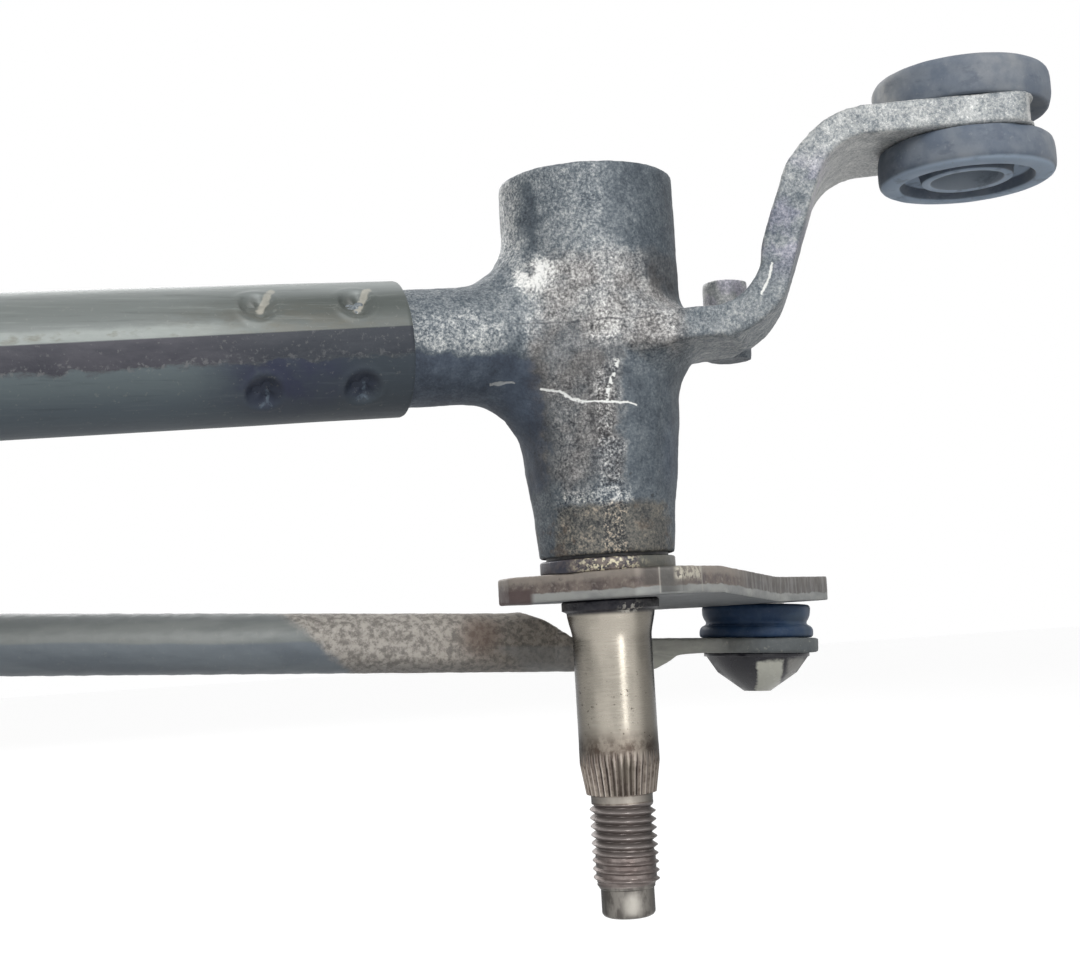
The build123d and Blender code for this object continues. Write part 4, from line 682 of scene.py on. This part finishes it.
def socket_plastic():
    """Glossy dark moulded plastic with smears of grease and pale faces that are painted reflections."""
    p = Paint("socket_plastic", specular=0.35, mirrored=True)
    smear = p.noise(3.2, 3, 0.5).step(0.42, 0.62)
    across = p.along(ACROSS, LEVER_BALL_X["right"], 23.7).ragged(2.2, 0.9)
    low = p.z.ragged(2, 0.8).step(13.4, 12.6)
    p.colour = p.mix(smear, "1a1a24", "2e2d34")
    # Painted reflections: pale bands low on the faces.
    p.coat("d2d2c6", across.band(-1.0, 3.2, 0.35) * low * 0.95)
    p.coat("969590", across.band(4.2, 7.5, 0.5) * low * 0.85)
    p.bump((p.noise(1.6), 0.03))
    return p.finish(smear.range(0.2, 0.4))


def can_paint():
    """Thin black paint on drawn steel, dusty and chipped."""
    p = Paint("can_paint")
    dust = p.noise(10, 4, 0.6).step(0.42, 0.7)
    chip = p.noise(2.2, 5, 0.7).step(0.68, 0.72)
    p.colour = p.mix(dust, "222326", "3c3d3e")
    p.coat("807062", chip)
    p.bump((p.noise(1.3, 2), 0.03), (1.0 - chip, 0.03))
    return p.finish(dust.range(0.28, 0.5))


def lamination():
    p = Paint("lamination", roughness=0.45, metallic=0.8)
    sheets = p.math("SINE", p.x * (2 * pi / 0.5))
    p.colour = p.mix(sheets.range(0.5, 1.0), "5a5c60", "828488")
    p.bump((sheets, 0.03))
    return p.finish()


def plain(name, metallic, roughness, spots, edge, grit, depth, dark, pale):
    """A simple finish: two close colours in spots, soft or with an edge, and a fine grit."""
    even = isinstance(roughness, float)
    p = Paint(name, roughness if even else 0.5, metallic)
    cloud = p.noise(*spots)
    cloud = cloud.step(*edge) if edge else cloud
    p.colour = p.mix(cloud, dark, pale)
    p.bump((p.noise(*grit), depth))
    return p.finish(None if even else cloud.range(*roughness))


FINE = (0.6, 4, 0.65)
PLAIN = {
    "hard_steel": (1.0, (0.12, 0.3), (3,), None, (0.5, 2), 0.008, "a09e9b", "c3c2c0"),
    "seal_rubber": (0.0, 0.5, (1.6, 4, 0.6), (0.45, 0.7), (1.6, 4, 0.6), 0.04, "18191e", "464444"),
    "black_plastic": (0.0, (0.42, 0.62), (8, 4, 0.6), (0.4, 0.75), (0.5, 3, 0.6), 0.02, "26272a", "424243"),
    "gear_plastic": (0.0, 0.4, (6,), None, (0.9,), 0.02, "ded8c6", "ece7d8"),
    "bronze": (1.0, (0.28, 0.5), FINE, None, FINE, 0.02, "a8804e", "cea870"),
    "copper": (1.0, (0.2, 0.4), (0.8,), None, (0.4, 2), 0.03, "b0683e", "d89468"),
    "ferrite": (0.0, 0.7, FINE, None, FINE, 0.03, "343538", "4c4d50"),
    "carbon": (0.0, 0.6, (0.4,), None, (0.4,), 0.02, "262628", "404042"),
}
MAKERS = (cast_metal, gear_case_metal, tube_steel, plated_steel, shaft_steel, dark_rubber,
          socket_plastic, can_paint, lamination)
materials = {maker.__name__: maker() for maker in MAKERS}
materials.update({name: plain(name, *values) for name, values in PLAIN.items()})
materials["rusty_steel"] = lever_steel("right")
slot_of = {entry["node"]: entry["material_slot"] for entry in frame["record"]["subparts"]}
body_of = {node: body for body, members in frame["record"]["behaviour"]["bodies"].items()
           for node in members}
rubber = grommet_rubber()
greasy = greasy_steel()
OWN_FINISH = {
    "right_link_rod": link_steel("right"), "left_link_rod": link_steel("left"),
    "left_lever": lever_steel("left"), "right_grommet": rubber, "left_grommet": rubber,
    "bracket_grommet": rubber, "right_thrust_washer": greasy, "left_thrust_washer": greasy,
}


def paint(piece, material):
    piece.data.materials.clear()
    piece.data.materials.append(material)


def stand_for(piece, node):
    """A detailed piece takes a node's place, body, slot and finish."""
    paint(piece, OWN_FINISH.get(node, materials[slot_of[node]]))
    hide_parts(node)
    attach(piece, body_of[node])


def linked(name, data):
    piece = bpy.data.objects.new(name, data)
    bpy.context.scene.collection.objects.link(piece)
    return piece


def smooth(mesh, angle):
    """Smooth shading with sharp edges kept where faces meet at more than the angle."""
    mesh.polygons.foreach_set("use_smooth", [True] * len(mesh.polygons))
    mesh.set_sharp_from_angle(angle=radians(angle))


# Copies of the CAD's forms


def reshaped(mesh, change):
    """Makes one change to a mesh through bmesh."""
    shape = bmesh.new()
    shape.from_mesh(mesh)
    change(shape)
    shape.to_mesh(mesh)
    shape.free()


def welded_copy(node):
    """The node's own form as a new closed mesh."""
    mesh = frame["nodes"][node].data.copy()
    reshaped(mesh, lambda shape: bmesh.ops.remove_doubles(shape, verts=shape.verts, dist=1e-6))
    return linked(node + "_form", mesh)


def applied(piece, angle):
    """Bakes a piece's modifiers into its mesh and shades it smooth."""
    result = bpy.data.meshes.new_from_object(
        piece.evaluated_get(bpy.context.evaluated_depsgraph_get()))
    piece.modifiers.clear()
    piece.data = result
    smooth(result, angle)
    return piece


def evened(node, voxel, rounds, surface):
    """The node's form as an even fine mesh with softened edges and its own unevenness."""
    piece = welded_copy(node)
    remesh = piece.modifiers.new("even", "REMESH")
    remesh.mode = "VOXEL"
    remesh.voxel_size = voxel * MM
    soften = piece.modifiers.new("soften", "SMOOTH")
    soften.factor = 0.5
    soften.iterations = rounds
    applied(piece, 180)
    if surface:
        push(piece, surface)
    return piece


def bevelled(node, width):
    """The node's form with its sharp edges rounded a little."""
    piece = welded_copy(node)
    reshaped(piece.data, lambda shape: bmesh.ops.dissolve_limit(
        shape, angle_limit=radians(1.0), verts=shape.verts, edges=shape.edges))
    bevel = piece.modifiers.new("edges", "BEVEL")
    bevel.width = width * MM
    bevel.segments = 2
    bevel.limit_method = "ANGLE"
    bevel.angle_limit = radians(35)
    return applied(piece, 35)


def push(piece, amount):
    """Moves each point along its normal by amount(x, y, z, normal) millimetres."""
    mesh = piece.data
    places, normals = np.empty((2, len(mesh.vertices), 3), np.float32)
    mesh.vertices.foreach_get("co", places.ravel())
    mesh.vertices.foreach_get("normal", normals.ravel())
    shift = [amount(*(c / MM for c in place), normal)
             for place, normal in zip(places.tolist(), normals.tolist())]
    places += normals * np.array(shift, np.float32)[:, None] * MM
    mesh.vertices.foreach_set("co", places.ravel())
    mesh.update()


def ease(value, low, high):
    """What Field.step does, for a plain number."""
    t = max(0.0, min(1.0, (value - low) / (high - low)))
    return t * t * (3 - 2 * t)


def swell(value, middle, reach):
    """1 at the middle, falling away on both sides."""
    return exp(-((value - middle) / reach) ** 2)


def mirrored(x):
    """X of the same place on the right-hand half."""
    return abs(x - MIDDLE_X) + MIDDLE_X


def roughcast(x, y, z, normal):
    """Slight waviness of a casting, in millimetres."""
    place = Vector((x, y, z))
    return noise.noise(place * 0.22) * 0.12 + noise.noise(place * 1.1) * 0.05


def cast_form(x, y, z, normal):
    """Waviness, and what the casting's edges show: a fuller root, a broader arm, a shorter ear tip."""
    place = Vector((mirrored(x), y, z))
    facing = Vector((normal[0] * (1 if x > MIDDLE_X else -1), normal[1], normal[2]))
    along, ahead, around = place.dot(EAR_ALONG), place.dot(EAR_FRONT), hypot(place.x, y)
    outward = facing.dot(EAR_ALONG)
    upper_left = outward * -0.894 + facing.z * 0.447
    lower_right = outward * 0.75 - facing.z * 0.66
    amount = roughcast(x, y, z, normal)
    amount += 0.85 * swell(z, 59.2, 3.2) * ease(place.dot(ACROSS), 6, 10) * ease(around, 21, 16)
    amount += 0.3 * ease(z, 37, 44) * ease(z, 57, 51) * ease(around, 17, 15)
    broader = ease(upper_left, 0.4, 0.9) * ease(z, 71, 75) * ease(z, 90, 84) * ease(along, 14, 17)
    amount += 0.7 * broader * ease(ahead, 5, 8)
    fuller = ease(lower_right, 0.6, 0.95) * ease(z, 72, 66) * ease(along, 16, 19)
    amount += 0.55 * fuller * ease(ahead, 5, 8)
    return amount - ease(outward, 0.3, 0.9) * ease(along, 64, 68)


def pressed(x, y, z, normal):
    """Lumpy faces of a sheared or squeezed steel piece, in millimetres."""
    place = Vector((x, y, z))
    return noise.noise(place * 0.5) * 0.05 + noise.noise(place * 1.6) * 0.025


def squeezed(side):
    """The pressed end of a link rod: fuller shoulders above and below its neck."""
    def amount(x, y, z, normal):
        along = mirrored(x) - LEVER_BALL_X[side]
        shoulder = 0.75 * swell(along, -37.6, 3.6) * ease(normal[2], 0.1, 0.6)
        heel = 0.45 * swell(along, -18, 2.6) * ease(-normal[2], 0.1, 0.6)
        return shoulder + heel + pressed(x, y, z, normal) * 1.6
    return amount


# Pieces wrapped in rings of points


def wrapped(name, rows, columns, place, closed=False):
    """A skin of rings: place(row, column) gives each point in mm; its ends are capped or joined."""
    mesh = bpy.data.meshes.new(name)
    points = [place(i, j) for i in range(rows) for j in range(columns)]
    faces = []
    for i in range(rows if closed else rows - 1):
        low, high = i * columns, (i + 1) % rows * columns
        for j in range(columns):
            k = (j + 1) % columns
            faces.append((low + j, low + k, high + k, high + j))
    if not closed:
        faces.append(tuple(reversed(range(columns))))
        faces.append(tuple(range((rows - 1) * columns, rows * columns)))
    mesh.from_pydata([tuple(c * MM for c in p) for p in points], [], faces)
    mesh.update()
    return linked(name, mesh)


def soft(corners):
    """A profile with each (radius, height, rounding) corner turned into a small curve."""
    points = []
    for i, (r, h, rounding) in enumerate(corners):
        here = Vector((r, h))
        before = Vector(corners[i - 1][:2])
        after = Vector(corners[(i + 1) % len(corners)][:2])
        start = here + (before - here).normalized() * rounding
        end = here + (after - here).normalized() * rounding
        for k in range(7):
            t = k / 6
            points.append(tuple(start * (1 - t) ** 2 + here * 2 * t * (1 - t) + end * t ** 2))
    return points


def refined(points, step):
    """The same closed profile with points no further apart than step."""
    out = []
    for a, b in zip(points, points[1:] + points[:1]):
        a, b = Vector(a), Vector(b)
        count = max(1, int((b - a).length / step))
        out += [tuple(a.lerp(b, k / count)) for k in range(count)]
    return out


def turned(name, profile, centre, up, columns, uneven):
    """A closed profile of (radius, height) turned about an axis through centre."""
    up = Vector(up).normalized()
    side = up.orthogonal().normalized()
    ahead = up.cross(side)
    centre = Vector(centre)

    def place(i, j):
        r, h = profile[i]
        angle = 2 * pi * j / columns
        out = side * cos(angle) + ahead * sin(angle)
        spot = centre + out * r + up * h
        return spot + out * noise.noise(spot * 0.35) * uneven

    piece = wrapped(name, len(profile), columns, place, closed=True)
    smooth(piece.data, 180)
    return piece


# Frame tube with its punched dimples


def tube_axis(x):
    """Height of the tube's axis at x."""
    x = mirrored(x)
    past = x - (TUBE_BEND_X - TUBE_BEND_REACH)
    if past <= 0:
        return TUBE_LEVEL_Z
    if past >= 2 * TUBE_BEND_REACH:
        return TUBE_AXIS_Z + TUBE_SLOPE * x
    return TUBE_LEVEL_Z + TUBE_SLOPE * past ** 2 / (4 * TUBE_BEND_REACH)


def dimple_depth(x, angle):
    """Depth of the round pit that a three-sided punch leaves, with metal raised around it."""
    depth = 0.0
    for spot_x in DIMPLE_X:
        for spot_angle in DIMPLE_ANGLES:
            across = (angle - spot_angle + 180) % 360 - 180
            u, v = mirrored(x) - spot_x, radians(across) * TUBE_R
            away = hypot(u, v)
            if away > 7:
                continue
            ribs = 1 - 0.28 * cos(3 * atan2(v, u) + (0.6 if spot_angle > 0 else 0))
            depth += 1.5 * max(0.0, 1 - away / 2.6) ** 0.8 * ribs
            depth += 0.35 * swell(away, 0, 3.4) - 0.16 * swell(away, 3.1, 0.5)
    return depth


def frame_tube():
    """The tube in rings, close together at its dimpled ends, and with its bore."""
    columns = 208
    half = [*np.arange(TUBE_END_X - 0.4, -60, -0.25), *np.arange(-60, MIDDLE_X, -5)]
    edge = [(TUBE_END_X, TUBE_INNER_R), (TUBE_END_X, TUBE_R - 0.35), (TUBE_END_X - 0.12, TUBE_R - 0.1)]
    right = edge + [(x, TUBE_R) for x in half]
    left = [(LEFT_X - x, r) for x, r in reversed(right)]
    bore = np.linspace(LEFT_X - TUBE_END_X - 20, TUBE_END_X - 20, 12)
    rings = right + left + [(x, TUBE_INNER_R) for x in bore]

    def place(i, j):
        x, r = rings[i]
        angle = 360 * j / columns
        slope = tube_axis(x + 0.5) - tube_axis(x - 0.5)
        if r == TUBE_R:
            r -= dimple_depth(x, angle)
            r += noise.noise(Vector((x * 0.08, angle * 0.02, 3.0))) * 0.05
        up = r * sin(radians(angle))
        return (x - slope * up, -r * cos(radians(angle)), tube_axis(x) + up)

    piece = wrapped("frame_tube_form", len(rings), columns, place, closed=True)
    smooth(piece.data, 38)
    return piece


# Pivot shafts with their thread and knurl: radii, then heights

SHAFT_R = 6.0
TIP_PROFILE = (3.0, 3.3, 3.72, 3.95, 4.0)
RELIEF_R = 4.66
SEAT_R = 6.7
STAKED_R = 7.4
GROOVE_R = 5.2
THREAD_ROOT_R = 4.19
THREAD_DEPTH = 0.76
THREAD_END_Z = -18.4
THREAD_TOP_Z = -4.97
KNURL_Z = -4.6
KNURL_TOP_Z = 2.4
KNURL_DEPTH = 0.42
FLARE_Z = 18.6
FLARE_TOP_Z = 22.7
SEAT_TOP_Z = 28.5
GROOVE_Z = 83.2
SHAFT_HEIGHTS = [
    -22.7, -22.7, -22.5, -22.2, -22.0, *np.arange(-21.6, -18.5, 0.6), *np.arange(THREAD_END_Z, -5.0, 0.104),
    -4.95, -4.75, -4.62, -4.58, *np.arange(-4.5, KNURL_TOP_Z, 0.23),
    3, 6, 9, 12, 15, 17.6, 18.2, FLARE_Z, 19.2, 20, 21, 22, 22.6, 22.75, 22.95, 23.5, 24.1, 24.38,
    LEVER_Z, SEAT_TOP_Z, SEAT_TOP_Z, 60, GROOVE_Z, GROOVE_Z, 84.4, 84.4, 85.8, 86.2, 86.5]
GROOVE_ROWS = [SHAFT_HEIGHTS.index(GROOVE_Z) + row for row in (1, 2)]


def thread_radius(z, angle):
    """Radius of a right-hand V thread, run out at both ends and clogged with dirt low down."""
    phase = (z / THREAD_PITCH + angle / (2 * pi)) % 1.0
    crest = max(0.0, min(1.0, (abs(phase - 0.5) * 2 - 0.08) / 0.84))
    dirt = 0.42 * ease(z, -12.2, -14.2) * ease(z, -18.4, -17.4)
    lump = noise.noise(Vector((cos(angle) * 4, sin(angle) * 4, z)))
    crest = max(crest, dirt + 0.1 * lump * (dirt > 0))
    fade = min(1.0, max(0.0, (-5.9 - z) / 0.6)) * min(1.0, max(0.0, (z + 18.3) / 0.9))
    return THREAD_ROOT_R + THREAD_DEPTH * crest * fade + 0.45 * ease(z, -6.3, -5.9)


def knurl_radius(z, angle):
    """Cone with V-shaped teeth whose valleys run out to points above it."""
    base = SHAFT_R if z > 0 else SHAFT_R + 0.75 * z / 4.6
    valley = 1 - abs((angle * TEETH / (2 * pi)) % 1.0 - 0.5) * 2
    reach = max(0.0, min(1.0, (2.0 - z) / 2.6))
    return base + 0.03 - max(0.0, valley - (1 - reach)) * KNURL_DEPTH


def shaft_radius(i, z, angle):
    """Radius of the pivot shaft in row i, at height z."""
    if i < len(TIP_PROFILE):
        return TIP_PROFILE[i]
    if z < THREAD_END_Z:
        return TIP_PROFILE[-1]
    if z < THREAD_TOP_Z:
        return thread_radius(z, angle)
    if z < KNURL_Z:
        return RELIEF_R
    if z < KNURL_TOP_Z:
        return knurl_radius(z, angle)
    if z <= FLARE_TOP_Z:
        return SHAFT_R + 0.7 * ease(z, FLARE_Z, FLARE_TOP_Z)
    if z < LEVER_Z:
        lump = noise.noise(Vector((cos(angle) * 3, sin(angle) * 3, z))) * 0.18
        return STAKED_R + lump - (0.45 if z < 22.8 else 0.0) - (0.3 if z > 24.3 else 0.0)
    if z <= SEAT_TOP_Z:
        return SEAT_R
    if i in GROOVE_ROWS:
        return GROOVE_R
    return SHAFT_R if z < 86 else SHAFT_R - (z - 85.8) * 0.9


def pivot_shaft(node, centre_x, columns):
    def place(i, j):
        z, angle = SHAFT_HEIGHTS[i], 2 * pi * j / columns
        r = shaft_radius(i, z, angle)
        return (centre_x + r * cos(angle), r * sin(angle), z)

    piece = wrapped(node + "_form", len(SHAFT_HEIGHTS), columns, place)
    smooth(piece.data, 30)
    return piece


# Rubber pieces turned about their own axes

GROMMET_R = 13.1
GROMMET_BORE_R = 5.3


def grommet(node, x, y, middle, groove):
    """Two rounded flanges with a moulded groove and boss on each face."""
    half = groove / 2 + 0.05

    def face(top):
        return [(GROMMET_R - 0.5, half, 0.5), (GROMMET_R, half + 1.4, 0.9), (GROMMET_R, top, 1.7),
                (9.95, top, 0.6), (9.5, top - 2.0, 0.5), (7.0, top - 2.2, 0.5), (6.7, top - 0.4, 0.45),
                (GROMMET_BORE_R, top - 0.4, 0.5)]

    lower = [(r, -h, c) for r, h, c in reversed(face(groove / 2 + 5.5))]
    corners = lower + [(7.0, -half, 0.3), (7.0, half, 0.3)] + face(groove / 2 + 6.1)
    profile = refined(soft(corners), 0.5)
    return turned(node + "_form", profile, (x, y, middle), (0, 0, 1), 160, 0.12)


def ball_place(side, end):
    """Centre of a ball joint at a lever or at the crank."""
    angle = radians(HEADING[side])
    swing = Vector((THROW * cos(angle), THROW * sin(angle), 0))
    if end == "crank":
        return Vector((*MOTOR, BALL_Z + LINK_RISE)) + swing
    return Vector((PIVOT_X[side], 0, BALL_Z)) + swing


def boot(node, side, end):
    """Rubber boot with a broad upper bead, a pinched waist and a lower bead."""
    corners = [
        (8.3, 1.3, 0.2), (9.75, 1.3, 0.7), (9.75, 3.1, 0.8), (8.75, 3.5, 0.3), (8.6, 3.9, 0.3),
        (9.2, 4.9, 0.6), (9.3, 6.9, 0.8), (7.0, 7.05, 0.6), (5.7, 6.6, 0.3), (5.7, 5.6, 0.3),
        (7.2, 4.4, 0.3), (7.2, 3.1, 0.2), (8.3, 3.05, 0.1)]
    run = ball_place(side, "crank") - ball_place(side, "lever")
    up = run.cross(Vector((0, 0, 1)).cross(run))
    profile = refined(soft(corners), 0.6)
    return turned(node + "_form", profile, ball_place(side, end), up.normalized(), 112, 0.1)


# Dressing every node

EVENED = {
    "right_pivot_housing": (0.42, 4, cast_form), "left_pivot_housing": (0.6, 3, cast_form),
    "right_lever": (0.28, 2, pressed), "left_lever": (0.4, 2, pressed),
    "right_link_rod": (0.4, 4, squeezed("right")), "left_link_rod": (0.5, 3, squeezed("left")),
    "gear_housing": (0.6, 3, roughcast), "crank_arm": (0.4, 3, pressed),
    "motor_bracket": (0.45, 3, None),
}
BEVELLED = {
    "gear_cover": 0.5, "cover_screws": 0.25, "motor_bolts": 0.3, "can_screws": 0.25, "crank_nut": 0.35,
    "connector": 0.4, "motor_can": 0.8, "thrust_washer": 0.3, "top_washer": 0.2, "lever_socket": 0.3,
    "crank_socket": 0.3, "output_spacer": 0.3,
}
SHAFT_COLUMNS = {"right": 288, "left": 144}
PLATE_Z = TUBE_LEVEL_Z + TUBE_R
GROMMETS = {
    "right": (*EYE, 91.5, 4.5), "left": (LEFT_X - EYE[0], EYE[1], 91.5, 4.5),
    "bracket": (MOTOR[0], -36.0, PLATE_Z + 1.25, 2.5),
}


def own_form(node):
    """A finer form built from scratch, for the nodes that have one."""
    side, _, kind = node.partition("_")
    if node == "frame_tube":
        return frame_tube()
    if kind == "pivot_shaft":
        return pivot_shaft(node, PIVOT_X[side], SHAFT_COLUMNS[side])
    if kind == "grommet":
        return grommet(node, *GROMMETS[side])
    if kind in ("lever_boot", "crank_boot"):
        return boot(node, side, kind.removesuffix("_boot"))
    return None


for node in sorted(frame["nodes"]):
    kind = node.removeprefix("right_").removeprefix("left_")
    form = own_form(node)
    if node in EVENED:
        form = evened(node, *EVENED[node])
    elif kind in BEVELLED:
        form = bevelled(node, BEVELLED[kind])
    if form:
        stand_for(form, node)
    else:
        paint(frame["nodes"][node], materials[slot_of[node]])


# Floor, light and camera

FLOOR_Z = -60.0
FLOOR_HALF = 3.0
FLOOR_LIFT = 0.78
FILL_LIGHT = 0.34
CAMERA_AT = (-92.3, -225.7, 21.3)
YAW, PITCH, ROLL = radians(20), radians(5.10), radians(-3.32)
FOCAL_PX, PICTURE_WIDTH_PX = 1600, 1080
SENSOR_MM = 36.0


def background_rays(nodes, links):
    """1 for rays that should see the white background: the camera's, mirrored and refracted ones."""
    path = nodes.new("ShaderNodeLightPath")
    seen = path.outputs["Is Camera Ray"]
    for kind in ("Is Glossy Ray", "Is Transmission Ray"):
        either = nodes.new("ShaderNodeMath")
        either.operation = "MAXIMUM"
        links.new(seen, either.inputs[0])
        links.new(path.outputs[kind], either.inputs[1])
        seen = either.outputs[0]
    return seen


def pale_floor():
    """A pale grey floor that looks white and still takes the object's shadow."""
    p = Paint("pale_floor", roughness=0.9)
    p.colour = p.mix(p.noise(900, 2), "969696", "9a9a9a")
    lift = p.node("Emission")
    p.put(lift.inputs["Strength"], p.math("MULTIPLY", background_rays(p.nodes, p.links), FLOOR_LIFT))
    both = p.node("AddShader", p.shader.outputs[0], lift.outputs[0])
    p.links.new(both.outputs[0], p.nodes["Material Output"].inputs["Surface"])
    return p.finish()


def floor():
    mesh = bpy.data.meshes.new("floor")
    half, z = FLOOR_HALF, FLOOR_Z * MM
    mesh.from_pydata([(-half, -half, z), (half, -half, z), (half, half, z), (-half, half, z)], [],
                     [(0, 1, 2, 3)])
    piece = linked("floor", mesh)
    paint(piece, pale_floor())


def world():
    """White to the camera and in reflections, a soft even fill to everything else."""
    sky = bpy.data.worlds.new("studio")
    sky.use_nodes = True
    nodes, links = sky.node_tree.nodes, sky.node_tree.links
    strength = nodes.new("ShaderNodeMath")
    strength.operation = "MULTIPLY_ADD"
    links.new(background_rays(nodes, links), strength.inputs[0])
    strength.inputs[1].default_value = 1 - FILL_LIGHT
    strength.inputs[2].default_value = FILL_LIGHT
    links.new(strength.outputs[0], nodes["Background"].inputs["Strength"])
    nodes["Background"].inputs["Color"].default_value = (1, 1, 1, 1)
    bpy.context.scene.world = sky


def lamp(name, place, target, size, power):
    light = bpy.data.lights.new(name, "AREA")
    light.shape = "RECTANGLE"
    light.size, light.size_y = size
    light.energy = power
    piece = linked(name, light)
    piece.location = place
    piece.rotation_euler = (Vector(target) - Vector(place)).to_track_quat("-Z", "Y").to_euler()


def camera():
    """The photograph's camera: where it stood, how it was turned, and its focal length."""
    look = Vector((sin(YAW) * cos(PITCH), cos(YAW) * cos(PITCH), sin(PITCH)))
    side = look.cross(Vector((0, 0, 1))).normalized()
    top = side.cross(look)
    right = side * cos(ROLL) + top * sin(ROLL)
    up = top * cos(ROLL) - side * sin(ROLL)
    data = bpy.data.cameras.new("camera")
    data.sensor_fit = "HORIZONTAL"
    data.sensor_width = SENSOR_MM
    data.lens = FOCAL_PX / PICTURE_WIDTH_PX * SENSOR_MM
    data.clip_start = 0.01
    piece = linked("camera", data)
    turn = Matrix((right, up, -look)).transposed().to_4x4()
    piece.matrix_world = Matrix.Translation(Vector(CAMERA_AT) * MM) @ turn
    bpy.context.scene.camera = piece


floor()
world()
lamp("key", (-0.02, -0.7, 0.5), (-0.05, 0, 0.05), (0.3, 0.3), 3.6)
lamp("strip", (0.03, -0.62, 0.05), (0, 0, 0.04), (0.1, 0.42), 0.68)
lamp("fill", (-0.8, -0.35, 0.5), (-0.05, 0, 0.05), (0.6, 0.6), 1.6)
lamp("back", (-0.2, 0.9, 0.6), (-0.1, 0, 0.04), (0.6, 0.6), 4)
camera()
bpy.context.scene.view_settings.view_transform = "Standard"
